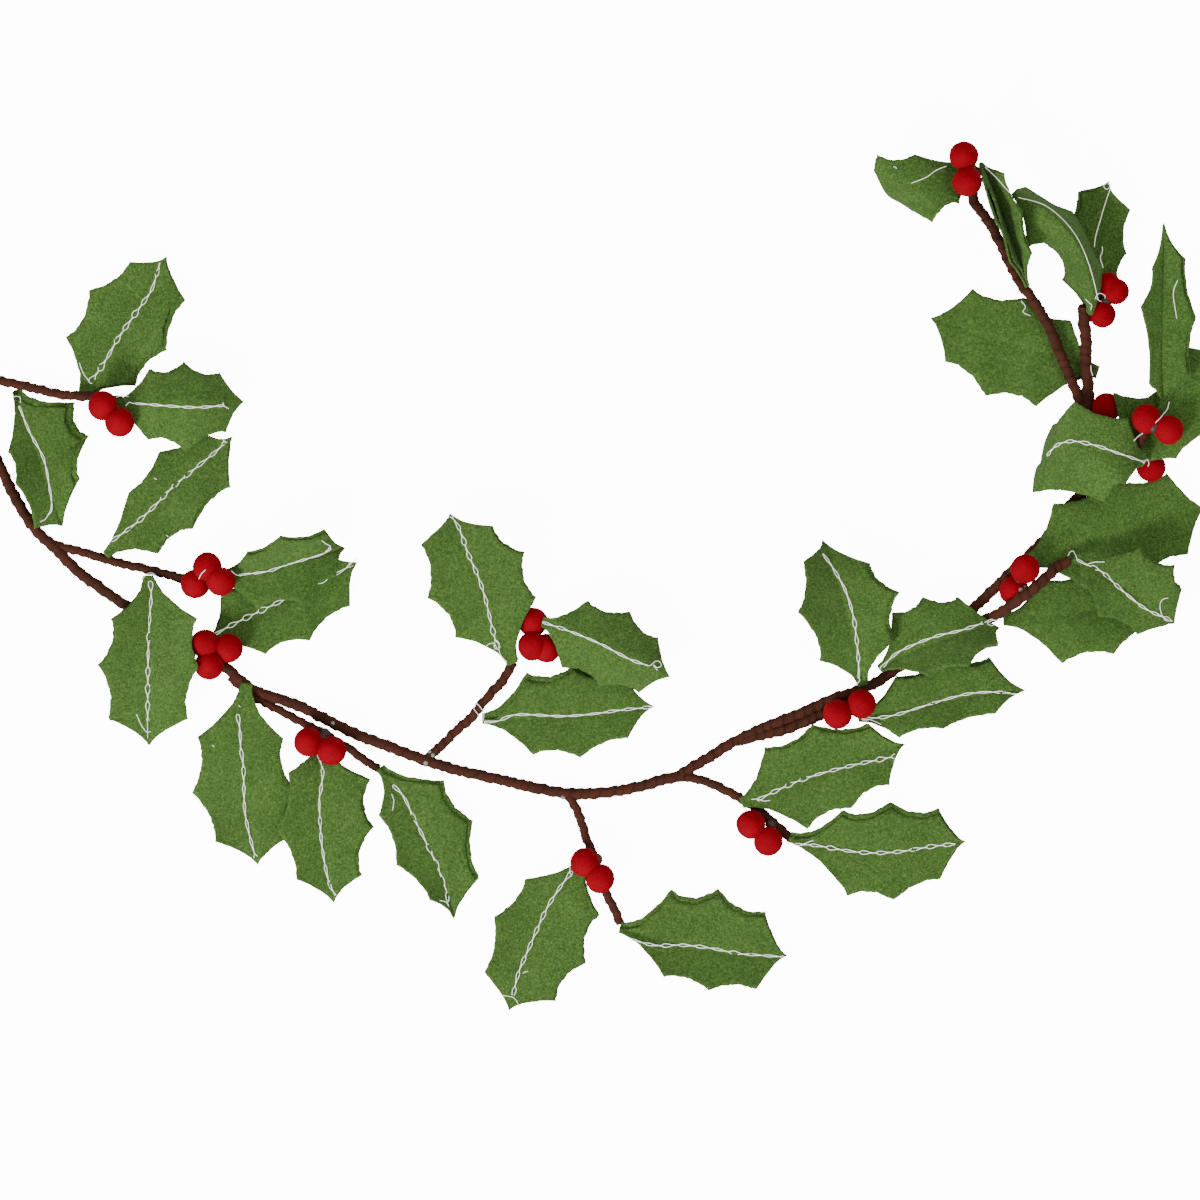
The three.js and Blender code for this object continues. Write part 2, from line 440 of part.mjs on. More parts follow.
// A stem as a tube of flat sides, grown on every side where it is the sleeve that fits others to it
function stemTube(stem, growth) {
  const radius = stem.diameter / 2 + growth;
  const section = new THREE.Shape();
  const turn = (2 * Math.PI) / STEM_SIDES;
  const corner = radius * Math.sqrt(turn / Math.sin(turn)); // gives the section a round stem's area
  for (let i = 0; i < STEM_SIDES; i++) {
    const angle = (i + 0.5) * turn;
    const x = corner * Math.cos(angle);
    const y = corner * Math.sin(angle);
    if (i === 0) section.moveTo(x, y);
    else section.lineTo(x, y);
  }
  section.closePath();
  const steps = Math.max(2, Math.round(stemCurve(stem, 0).getLength() / STEM_STEP));
  const extrudePath = stemCurve(stem, growth);
  return new THREE.ExtrudeGeometry(section, { steps, bevelEnabled: false, extrudePath });
}

// Each stem is fitted against the ones it branches from and trimmed flat where it rests
function stemSolids() {
  const floor = new THREE.BoxGeometry(FLOOR_SIZE, FLOOR_SIZE, FLOOR_SIZE);
  floor.translate(0, 0, -FLOOR_SIZE / 2);
  const below = solidFrom(floor);
  const made = new Map();
  for (const stem of STEMS) {
    let solid = solidFrom(stemTube(stem, 0)).subtract(below);
    for (const name of stem.trims) {
      const other = STEMS.find((candidate) => candidate.name === name);
      solid = solid.subtract(solidFrom(stemTube(other, CLEARANCE)));
    }
    const bodies = solid.decompose().sort((a, b) => b.volume() - a.volume());
    made.set(stem.name, bodies[0]);
  }
  return made;
}

function berrySolid(cluster) {
  let solid = null;
  for (const [x, y, z] of cluster.balls) {
    const ball = new THREE.SphereGeometry(cluster.radius, BALL_SIDES, BALL_RINGS).translate(x, y, z);
    solid = solid ? solid.add(solidFrom(ball)) : solidFrom(ball);
  }
  for (const [x, y, z] of cluster.knots) {
    const knot = new THREE.SphereGeometry(KNOT_RADIUS, BALL_SIDES, BALL_RINGS).translate(x, y, z);
    solid = solid.add(solidFrom(knot));
  }
  return solid;
}

function material(colour, roughness) {
  return new THREE.MeshStandardMaterial({ color: colour, roughness, metalness: 0 });
}

function addPiece(group, name, geometry, colour, roughness) {
  geometry.computeVertexNormals();
  const mesh = new THREE.Mesh(geometry, material(colour, roughness));
  mesh.name = name;
  group.add(mesh);
}

const garland = new THREE.Group();
for (const [name, solid] of stemSolids()) addPiece(garland, name, geometryFrom(solid), COLOURS.stem, 0.9);
for (const leaf of LEAVES) addPiece(garland, "leaf_" + leaf.name, leafGeometry(leaf), COLOURS.felt, 0.95);
for (const cluster of BERRIES) {
  addPiece(garland, "berries_" + cluster.name, geometryFrom(berrySolid(cluster)), COLOURS.berry, 0.85);
}

export default garland;
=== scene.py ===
# Felt holly garland: the looks of every piece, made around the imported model.
import math

import bpy
import numpy as np
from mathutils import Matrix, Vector
from mathutils.bvhtree import BVHTree


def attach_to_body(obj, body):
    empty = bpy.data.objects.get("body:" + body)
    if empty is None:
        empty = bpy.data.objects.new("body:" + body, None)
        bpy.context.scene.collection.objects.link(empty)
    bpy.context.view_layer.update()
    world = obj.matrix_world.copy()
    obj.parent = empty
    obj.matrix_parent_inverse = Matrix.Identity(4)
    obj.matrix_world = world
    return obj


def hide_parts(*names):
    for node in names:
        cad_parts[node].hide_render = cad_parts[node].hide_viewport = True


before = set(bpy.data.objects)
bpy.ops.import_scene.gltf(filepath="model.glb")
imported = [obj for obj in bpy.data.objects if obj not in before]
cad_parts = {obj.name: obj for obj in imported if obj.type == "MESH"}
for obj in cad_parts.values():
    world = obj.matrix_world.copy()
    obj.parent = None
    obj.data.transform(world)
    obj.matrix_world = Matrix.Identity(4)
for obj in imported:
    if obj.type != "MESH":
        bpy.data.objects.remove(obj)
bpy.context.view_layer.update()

MM = 0.001

# The cutting die of a leaf, in millimetres, as the model has it
LEAF_LENGTH = 86.0
NECK_HALF_WIDTH = 3.0
SPINE_ALONG = np.array([23.0, 48.0, 72.5, LEAF_LENGTH])
SPINE_OUT = np.array([21.5, 25.0, 20.0, 0.0])
SCALLOP_DEPTH = np.array([0.0, 3.6, 3.4, 3.0])
SHOULDER_POWER = 1.9
WING_SPAN = 25.0
MIDRIB_STEPS = 60
MIDRIB_END_LIMIT = 1.1  # share of the midrib past which nothing is carried on
PULL_LIMIT = 1.2  # share of the half width out to which a pull grows
RISE_BY_MIDRIB = 0.7  # rise of a narrow wing for each millimetre outwards, by the midrib
RISE_GROWTH = 0.3  # how much that grows out to the die's widest place
CUT_SPARE = 1.25  # width of felt that each cut takes, as a share of the die's width
ALONG_NECK = 3.0  # no normal is taken nearer to the neck than this
NUDGE = 0.05  # step over which a surface's slope is taken

# Felt
LAYER_THICKNESS = 1.15
LAYER_GAP = 0.06
RIM_INSET = 0.28
RIM_INSET_SHARE = 0.2  # of the layer's width, where it is too narrow for the inset
TIP_INSET = 0.06
EDGE_FADE = 6.0  # half width below which the waves of the edge fade
ROWS_PER_STRETCH = (15, 18, 18, 12)
COLUMN_SHARES = np.array([-1, -0.9, -0.72, -0.5, -0.3, -0.15, -0.06, 0, 0.06, 0.15, 0.3, 0.5, 0.72, 0.9, 1])
GROOVE_DEPTH = 0.5
GROOVE_WIDTH = 1.5
GROOVE_FADE = 10.0  # distance from the neck over which the stitched groove deepens
EDGE_WAVES = ((9.0, 0.22), (4.3, 0.16), (2.3, 0.11))
SWELL_WAVES = ((44.0, 0.45), (27.0, 0.25))
SWELL_SLANT = 0.6
RIM_FIBRES, NEAR_RIM_FIBRES = 1.0, 0.8
FLOOR_GAP = 0.05
TIP_FADE = 14.0  # distance from the tip over which the two layers come together

# Thread, stems and berries
THREAD_RADIUS = 0.2
THREAD_SIDES = 6
LOOSE_THREAD_RADIUS = 0.19
STITCH_PITCH = 8.4
LEAST_PITCH, PITCH_SPREAD = 0.94, 0.12  # shares of the pitch, as lines of stitches differ a little
STITCH_STEP = 0.45
LOOSE_STEP = 0.35
STEM_STEP = 0.7
LEAST_STITCH = 4.6
THREAD_HEADROOM = 1.5
THREAD_LIFT = 0.3  # above the felt, where the headroom is measured from
DRAPE_REACH = 3  # steps to each side over which a loose thread is held up
WRAP_PITCH = 5.6
STEM_SIDES = 18
KNOT_RADIUS = 2.4
GLUE_SINK = 0.2
FLAT_FIBRE_SHARE = 0.03
HIGH_ABOVE = 200.0
UP, DOWN = Vector((0, 0, 1)), Vector((0, 0, -1))


def table(columns, rows):
    """Rows of values, each read under its column's name."""
    return [dict(zip(columns, row)) for row in rows]


# x, y, z: neck. head: compass of the neck-to-tip line, degrees from +X. turn: how far the midrib swings to
# the left on its way. size: share of the die's length. pitch: slope of the midrib at neck, middle and tip.
# left, right: width of each wing seen from above as a share of the die's, at the first and the last spine,
# below zero where the wing hangs down. lift: share of the rise that goes with a narrow wing. skew: how far
# the left wing is drawn towards the tip. slip: how far the under layer shows past the upper one on the left
# (below zero: on the right), at the neck and the tip.
LEAF_COLUMNS = (
    "name", "x", "y", "z", "head", "turn", "size", "pitch", "left", "right", "lift", "skew", "slip")
LEAVES = table(LEAF_COLUMNS, [
    ("a1", -239, 197, 1.6, 59.4, 0, 0.96, (0, 3, -4), (1.08, 0.78), (0.9, 0.95), 0.5, 0.08, (-0.8, -3.5)),
    ("a2", -223.5, 193, 10, 1.3, 8, 0.83, (32, 4, -42), (-0.86, -0.8), (-0.88, -0.88), 0.6, 0, (0.3, 1.2)),
    ("a3", -273, 200.7, 1.6, -70.5, 0, 0.88, (0, 14, -20), (1.26, 0.78), (0.52, 0.7), 0.4, -0.27, (4, 3.5)),
    ("b1", -227.5, 118.6, 5.7, 40.7, -13, 1.03, (0, -3, -3), (0.6, 0.85), (0.86, 0.82), 0.15, 0.26,
     (-0.8, -2.5)),
    ("b2", -205.5, 108.2, 5.9, -90, -3, 0.985, (8, -3, -8), (0.82, 0.9), (0.97, 1), 1, 0, (-0.6, -0.6)),
    ("b3", -173, 107.2, 6, 14, 14, 0.85, (20, 8, -36), (0.42, 0.42), (0.98, 0.86), 0.7, 0.05, (0, 1.4)),
    ("c1", -175.5, 74.5, 2.6, 29, 0, 0.97, (0, -1, -1), (0.92, 0.8), (0.95, 0.94), 0.3, -0.08, (0.5, -0.5)),
    ("c2", -156.3, 54.6, 6.7, -86.4, 23, 1.03, (0, -4, -3), (1, 1.02), (1.05, 0.98), 1, 0, (-0.4, 0.4)),
    ("d1", -119.5, 25, 5, -85.1, 20, 0.92, (8, -4, -8), (1.27, 0.9), (0.85, 0.8), 0.5, 0.02, (0.8, 1.5)),
    ("d2", -90.2, 12, 5.4, -64.7, -27, 0.98, (-2, 0, -6), (1.02, 0.96), (0.74, 0.6), 0.35, 0, (3, 2.5)),
    ("e1", -23.5, 64.5, 8, 112.6, 0, 0.97, (24, 4, -16), (1.02, 1), (1.08, 0.82), 0.5, -0.06, (-0.6, -0.6)),
    ("e2", -8.5, 85.2, 13, -23.3, -8, 0.85, (28, 8, -34), (-0.92, -0.82), (-0.8, -0.74), 0.8, -0.05,
     (0.5, 1)),
    ("e3", -39, 36.5, 2.6, 4, 9, 1, (-1, 0, 0), (1, 0.95), (0.86, 0.8), 0.3, -0.04, (4.5, 0.3)),
    ("f1", 12.6, -33.5, 3, -117.4, 16, 0.98, (-1, 0, 0), (1.1, 1.08), (0.88, 0.88), 0.6, 0.03, (0.6, 0.6)),
    ("f2", 29.7, -68, 5.6, -10.3, 19, 1, (-4, -2, 0), (1.17, 1.15), (0.86, 0.84), 0.6, -0.06, (3, 2)),
    ("g1", 90.5, -5.5, 6.2, 18.7, -7, 1, (0, -1, -2), (0.97, 0.95), (0.98, 0.88), 0.4, -0.05, (0.5, 3)),
    ("g2", 114.8, -22.2, 5.7, -1, 32, 1.02, (-4, -2, 0), (0.9, 1), (1, 0.9), 0.2, 0.04, (3.5, 3)),
    ("h1", 151, 53.6, 6.4, 105.5, 8, 0.9, (32, 4, -32), (0.96, 0.72), (1.14, 1.02), 1, 0.06, (-0.8, -3)),
    ("h2", 160, 61, 7.4, 21.6, -22, 0.8, (16, 6, -24), (-0.97, -0.92), (0.55, 0.52), 0.7, -0.2, (0.4, 0.8)),
    ("h3", 149, 36.5, 2.4, 9.5, -8, 0.99, (0, 0, 0), (0.8, 0.98), (0.52, 0.48), 0.2, 0, (0.5, 2.2)),
    ("j1", 221.5, 86.5, 2.3, 8, 10, 0.96, (0, 0, 0), (0.9, 0.9), (1.1, 0.68), 0, 0, (0.5, 0.5)),
    ("j2", 257.2, 117.2, 12.9, -33.1, 0, 0.84, (28, 2, -40), (1, 0.8), (0.94, 0.8), 0.3, 0, (0.6, 0.8)),
    ("k1", 232, 114.6, 7.15, 16.9, 0, 1.1, (0, -3, -5), (1.08, 1.05), (1, 1), 1, 0, (-0.5, -0.5)),
    ("k2", 291.5, 165, 20.3, 178, 40, 0.9, (62, -24, -94), (1, 1), (1, 0.9), 0, 0.2, (0.4, 0.4)),
    ("m1", 269, 210, 2.4, 162.5, 0, 1.02, (0, 0, 0), (1.12, 1), (1, 1), 1, 0, (1, 0.6)),
    ("o1", 279, 161, 9.9, 44, 0, 1.02, (28, 8, -14), (1.12, 1), (0.72, 0.9), 0.2, -0.15, (0.5, 0.5)),
    ("o2", 299, 190.5, 27.4, 88.8, 0, 1.08, (2, -6, -8), (0.6, 0.5), (0.6, 0.5), 0.3, 0, (-1.5, -2.5)),
    ("n1", 267, 235, 2.2, 83.5, -15, 0.86, (0, 0, 24), (0.75, 0.65), (0.62, 0.7), 0.05, 0, (1, 3.5)),
    ("n2", 264.5, 238.5, 16.7, 122, 78, 0.96, (34, 4, -34), (-0.42, -0.9), (-0.4, -0.24), 1, -0.3, (-0.5, 1)),
    ("m2", 233, 252.5, 12.6, 110.6, 0, 0.78, (20, 6, -10), (0.16, 0.12), (0.34, 0.42), 0.8, 0, (1.5, 1.5)),
    ("m3", 207.5, 314.2, 14.5, -159, 0, 0.86, (36, 4, -138), (0.95, 0.92), (0.68, 0.95), 0.2, 0.3,
     (2.6, 3.4)),
])

# Where the spines of the two wings and the tip of each leaf are seen from above; None where one is hidden
SPINE_PLACE_COLUMNS = ("name", "left", "tip", "right")
SPINE_PLACES = table(SPINE_PLACE_COLUMNS, [
    ("a1", ((-247, 227.5), (-235.2, 250.8), (-215.2, 265.2)), (-196.5, 267.8),
     ((-212.2, 203), (-196.5, 220.5), (-187, 245.8))),
    ("a2", ((-204.2, 211.5), (-187.8, 215), (-170.8, 209.8)), (-158.5, 195),
     ((-205, 176), (-186.5, 170), (-167.2, 180))),
    ("a3", ((-242.2, 195), (-235.5, 178), (-239.8, 156.5)), (-248.5, 132.5),
     ((-275.5, 170), (-272, 154), (-262.5, 131.5))),
    ("b1", ((-215.5, 150), (-200, 170.5), (-179, 180.5)), (-163.5, 177.8),
     ((-200.5, 118.8), (-183, 131.8), (-164.8, 152.5))),
    ("b2", ((-180.8, 86.8), (-179.5, 63), (-185.5, 36.5)), (-205.5, 23.2),
     ((-224, 86.5), (-230.5, 63.5), (-226, 37))),
    ("b3", ((-155.5, 119.2), (-138.8, 127.2), (-116.5, 130.8)), (-107.2, 122),
     ((-150.5, 91), (-128.5, 94.5), (-111.5, 107.5))),
    ("c1", ((-169.5, 100), None, None), (-101.2, 115), ((-147, 68.8), (-125, 75.8), (-104.8, 93))),
    ("c2", ((-138, 27), (-132, 1), (-133.5, -21.5)), (-150.8, -36.5),
     ((-181, 27.5), (-183.8, -0.2), (-172.2, -24.8))),
    ("d1", ((-94.2, 6.5), (-93, -17.5), (-99, -41.5)), (-113, -55.5),
     ((-136, 10), (-141, -19.5), (-132, -43.5))),
    ("d2", ((-58, 5.8), (-43.5, -14), (-40.2, -42.8)), (-52.8, -63.5),
     ((-90.8, -11.5), (-82.2, -36.5), (-65.2, -54))),
    ("e1", ((-52.2, 77.5), (-66, 97), (-69.5, 123.5)), (-55, 139.2),
     ((-11.5, 97.5), (-17.8, 119.8), (-33.5, 133))),
    ("e2", ((14, 96), (34.8, 90.5), (48.5, 77.8)), (54.5, 57.8), ((1.5, 62.5), None, (39.2, 50.5))),
    ("e3", ((-17, 59.8), None, None), (47, 43), ((-13.5, 18.5), (10, 17), (34, 26.5))),
    ("f1", ((20, -61.5), (13.2, -85.5), (-2, -104.5)), (-25.5, -109.2),
     ((-17.5, -43), (-33, -62), (-38.2, -89.8))),
    ("f2", ((55.5, -48.5), (79, -48), (102.5, -59.5)), (113.5, -81.5),
     ((51.8, -92.5), (74.2, -99), (98, -99.2))),
    ("g1", ((102.2, 22.5), (126, 34), (154, 34.5)), (172.5, 24),
     ((123.5, -18.5), (145.8, -8.2), (164.5, 3.5))),
    ("g2", ((141, -9), (165, -4.5), (189.5, -8)), (202.8, -24.5),
     ((144, -51.5), (166.5, -54.2), (190.2, -43.5))),
    ("h1", ((129, 66), (118.2, 89.8), (120.5, 115)), (131, 126), ((167.5, 76), (169.2, 100), (155.2, 114.5))),
    ("h2", ((165.5, 90), (181, 98), (198.5, 97.5)), (219.5, 82), ((183, 58.5), (203.5, 63), (218.8, 74))),
    ("h3", ((168, 58), None, (214.5, 67.5)), (232.5, 51), ((169.5, 27), (191.5, 31.5), (217.5, 39))),
    ("j1", (None, None, None), (302.5, 96), ((251, 64), (276.8, 69), (300, 86))),
    ("j2", ((290.5, 121.8), (306.2, 113.5), (310, 103)), (306.5, 84.5),
     ((259, 104), (267.5, 87.5), (287.5, 79))),
    ("k1", ((246.5, 144.5), None, (303, 159.5)), None, (None, None, None)),
    ("k2", ((281, 153), (271.5, 144.5), (236.5, 149.5)), (240.8, 163.8),
     ((282.5, 186.5), (256.5, 195), (246.5, 183.5))),
    ("o1", ((275.5, 199.5), (294, 198), (309, 223)), None, (None, None, None)),
    ("m1", ((238, 192.5), (212.5, 197.8), (192.5, 215.2)), (185, 237),
     ((255.5, 236), (232, 247.5), (206.2, 251.5))),
    ("o2", ((293, 203.5), (288.5, 242), (295, 261)), (301, 284), ((314, 207), (316.5, 237), (311, 266))),
    ("n1", (None, None, (258.5, 300)), (274, 305), (None, (283.2, 269), (285.2, 290.8))),
    ("n2", ((253, 256.5), (243.5, 273.5), (233, 271)), (225, 298), ((270, 262), (255, 289.2), (232, 301.5))),
    ("m3", ((198.8, 293.5), (185.5, 283.8), (177.5, 293.5)), (170, 301),
     ((176, 317.5), (157.5, 318), (160, 311))),
])

# The thread sewn down each leaf, in the order neck to tip. loop: half the opening of its links, nought where
# it is a plain running thread. route: where it passes, seen from above.
STITCH_COLUMNS = ("leaf", "loop", "route")
STITCHES = table(STITCH_COLUMNS, [
    ("a1", 0.85, (
        (-235, 204.5), (-230.5, 210.5), (-226, 217.5), (-221.5, 225.5), (-217.5, 231.5), (-212.5, 238.5),
        (-207.5, 245.5), (-204, 251), (-201.5, 258.5), (-200, 264.5))),
    ("a2", 0.3, ((-211.5, 194), (-205, 193.5), (-192.5, 192.5), (-180, 192), (-167.5, 193))),
    ("a3", 0.2, ((-270.5, 193), (-265, 180), (-258, 167), (-255, 153.5), (-254, 141), (-255.5, 138.5))),
    ("b1", 0.65, (
        (-224, 125.5), (-219, 129), (-211.5, 134.5), (-206, 139.5), (-200, 145.5), (-195, 151),
        (-182.5, 161.5),
        (-170.5, 171.5), (-167, 175.5))),
    ("b2", 0.7, ((-204.5, 105.5), (-204, 98.5), (-204.5, 90.5), (-205.5, 73.5), (-205.8, 57), (-206, 36))),
    ("b3", 0.4, ((-160, 108.5), (-145, 110.5), (-135, 114), (-125, 117), (-117.5, 119.5), (-114.5, 122))),
    ("c1", 0.8, ((-173, 78.5), (-165, 83), (-151, 90), (-130, 100), (-110, 110), (-104, 114))),
    ("c2", 0.6, (
        (-161, 39), (-159.8, 30.5), (-159.5, 22.5), (-158.2, 13.5), (-158, 6), (-157.8, -2.5),
        (-157.2, -11.5),
        (-153.5, -28), (-152, -32.5))),
    ("d1", 0.5, (
        (-121, 19.5), (-118.5, 11), (-119.2, 2.5), (-120.2, -4), (-119.8, -15.5), (-119, -26.5),
        (-115, -46.5),
        (-112, -51.5))),
    ("d2", 0.6, (
        (-83.5, 3.5), (-78.5, -1.5), (-72.5, -14), (-67.5, -24), (-62.5, -34), (-57, -49), (-56, -55))),
    ("e1", 0.75, ((-31, 71.5), (-33.5, 81), (-37, 96), (-40, 106), (-46, 120), (-50.5, 132.5), (-55, 139))),
    ("e2", 0.35, ((-8.5, 85), (6, 80), (20.5, 74), (35, 66.5), (43.5, 63.5))),
    ("e3", 0.4, ((-38, 35), (-31, 35.5), (-23.5, 38.5), (2, 38), (15.5, 39), (30, 41), (46, 42.5))),
    ("f1", 0.6, (
        (6, -39.5), (0, -47.5), (-6, -57), (-11.5, -68.5), (-16, -79), (-20.5, -89.5), (-23.5, -101.5))),
    ("f2", 0.6, (
        (29.5, -70.5), (39, -74.5), (47.5, -76.5), (63.5, -76.5), (76, -78), (88.5, -80.5), (113, -82.5))),
    ("g1", 0.7, ((98.5, -4), (106.5, 0), (121.5, 6.5), (144.5, 13), (167.5, 18))),
    ("g2", 0.6, ((116.5, -26), (126.5, -26.5), (149.5, -30), (167.5, -30), (186.5, -27), (197.5, -26))),
    ("h1", 0.5, ((149, 57), (149, 64.5), (148, 76), (146, 89), (142, 101.5), (137, 110.5), (131, 119))),
    ("h2", 0.35, ((160, 61.5), (167.5, 69), (175, 73), (188, 78), (200.5, 81), (211, 84.5))),
    ("h3", 0.4, ((151, 36.5), (165, 38), (180.5, 42.5), (193, 46.5), (206, 49.5), (218.5, 50), (230, 48.5))),
    ("j2", 0.55, (
        (258, 116), (262.5, 113.5), (269.5, 110.5), (277, 103.5), (284.5, 97), (292, 91.5), (305.5, 85.5))),
    ("k2", 0.4, ((291, 164.5), (279, 168.5), (267.5, 172.5), (254.5, 175), (247.5, 173), (243, 168))),
    ("n1", 0, ((267, 272.5), (267.5, 277), (270, 286), (273, 296), (275, 302))),
    ("n2", 0, (
        (268, 246), (265, 257.5), (261.5, 267.5), (256.5, 277.5), (249, 286.5), (241, 292.5),
        (228.5, 296.5))),
    ("m2", 0, ((224.5, 297.5), (217.5, 306), (212, 311.5))),
    ("m3", 0, ((192.5, 312), (187.5, 310), (182.5, 306.5), (175, 303.5))),
    ("o2", 0, ((307, 236), (305.5, 249.5), (307.5, 255))),
])

# Loose ends of thread and the loops that tie a leaf on: points seen from above, each dropped on what lies
# there
LOOSE_THREADS = (
    ((-240.2, 214.6), (-238.4, 209.6), (-236, 206.2), (-234.6, 204.2)),
    ((-221.6, 197.2), (-218.6, 198), (-215.2, 197.5)),
    ((-216.5, 193), (-214.6, 194.6), (-213, 194), (-211.4, 194.2)),
    ((-168, 194.5), (-167.5, 193), (-165.2, 191.4)),
    ((-274, 197), (-272, 197.8), (-270, 197.3), (-269.6, 194.6)),
    ((-255.5, 138.5), (-257, 136.2), (-259.5, 135)),
    ((-173, 178), (-170, 177.6), (-168.4, 176), (-167, 174.6)),
    ((-209, 106), (-206.2, 109), (-204, 109.6), (-202, 108.2), (-201, 106.5)),
    ((-211.5, 39), (-209.8, 35), (-208.4, 32.4), (-206, 30), (-204.4, 30.4)),
    ((-206, 36), (-206, 32), (-206, 27)),
    ((-164, 110.6), (-161.6, 108.6), (-159, 108)),
    ((-118.6, 125.6), (-116.6, 124), (-114.4, 122.6), (-115, 120.6), (-117, 120.4)),
    ((-180, 106.5), (-178.6, 109), (-176.5, 111)),
    ((-107, 112), (-104, 114.6), (-102, 116.5)),
    ((-84, -1), (-83, -4), (-83.2, -7), (-83.6, -9)),
    ((-60, -54), (-57.6, -54.6), (-56.4, -55.4), (-55.5, -57)),
    ((-37, 73), (-35, 74.2), (-33, 74.4), (-31.4, 72)),
    ((-31.6, 76), (-30.4, 74.4), (-30.4, 71.4), (-29.6, 68.6), (-26.5, 65)),
    ((43, 63.4), (45, 63.4), (48, 65.6), (50, 65), (50.4, 63), (48.4, 62.4), (46.6, 63.6), (48.6, 61)),
    ((-42, 44.6), (-43.2, 42.4), (-42.2, 40.4), (-41, 39), (-40, 37.2), (-39.4, 35.4)),
    ((-42, 44.6), (-40.2, 43), (-38.6, 40.6), (-38, 38), (-38.6, 35.6)),
    ((4.4, -35.4), (5, -38), (5, -40), (6, -42)),
    ((-28.5, -101.5), (-25.6, -102), (-23.5, -102.5), (-21.6, -104.4), (-20.5, -107)),
    ((-18.6, -90.5), (-17.4, -89.8), (-16, -89.5)),
    ((95.5, -3.6), (99, -3.4), (102, -4.4), (105, -4)),
    ((120, -26.4), (122.5, -25.5), (126.5, -24)),
    ((146, 57.2), (144.4, 55.6), (145.6, 54), (148.4, 54.4), (149.6, 56), (149, 57.6)),
    ((212, 84.8), (215.5, 86.4), (217.4, 84.8), (215.6, 83.2), (213.4, 84.4), (216, 85.8), (220.5, 85.6)),
    ((151, 36.5), (154, 36.4), (157, 35.4), (160.5, 33.8)),
    ((253.6, 118), (254.8, 120), (256.2, 120.4), (257.2, 118.6), (258, 116)),
    ((262.5, 113.5), (266, 114.8), (271.5, 115)),
    ((303, 97), (300.6, 96.4), (299.2, 94.6), (299.2, 91.4), (300.6, 87.8), (303.4, 86)),
    ((290.6, 164.5), (292.6, 166), (293.6, 164.2), (293.2, 162.6)),
    ((230.5, 245.5), (232.6, 242.4), (231.4, 240), (235, 238)),
    ((265, 213), (265.2, 210.4), (266, 208)),
    ((303.4, 194.6), (302.4, 191), (300, 188), (296, 184)),
    ((285.6, 175.2), (287.8, 177.4), (290, 179)),
    ((271, 272.6), (271, 270), (270, 267.4), (271.4, 262)),
    ((266.6, 246), (268, 248.4), (270, 248.8), (272, 247.4), (271.4, 245.4), (269.4, 245), (267.4, 246.4)),
    ((262, 246), (263.8, 244), (265, 243), (264.6, 240.6)),
    ((273, 304.4), (271.4, 302.6), (273, 301), (274.6, 302.6), (273.4, 304.2)),
    ((166, 311.6), (167, 311.4), (167.6, 310.6)),
    ((-202.6, 156.8), (-201.4, 156.2)),
    ((-196.6, 128.4), (-195.6, 127.6)),
    ((-173.6, 23.4), (-172.6, 22.8)),
    ((-160.4, 43.4), (-159.6, 42.6)),
)

# Drops of glue: x, y and radius
GLUE_DROPS = (
    (-63.5, 18.5, 0.8), (-65, 20.2, 0.6), (-67, 14.5, 0.7), (1.5, -2.6, 0.8), (-113.5, 34.4, 0.6),
    (105.5, -16, 0.9), (107, -17.6, 0.6), (230, 101, 0.8), (232, 102.6, 0.6),
)


def level(height, points):
    """A route that lies at one height."""
    return tuple((x, y, height) for x, y in points)


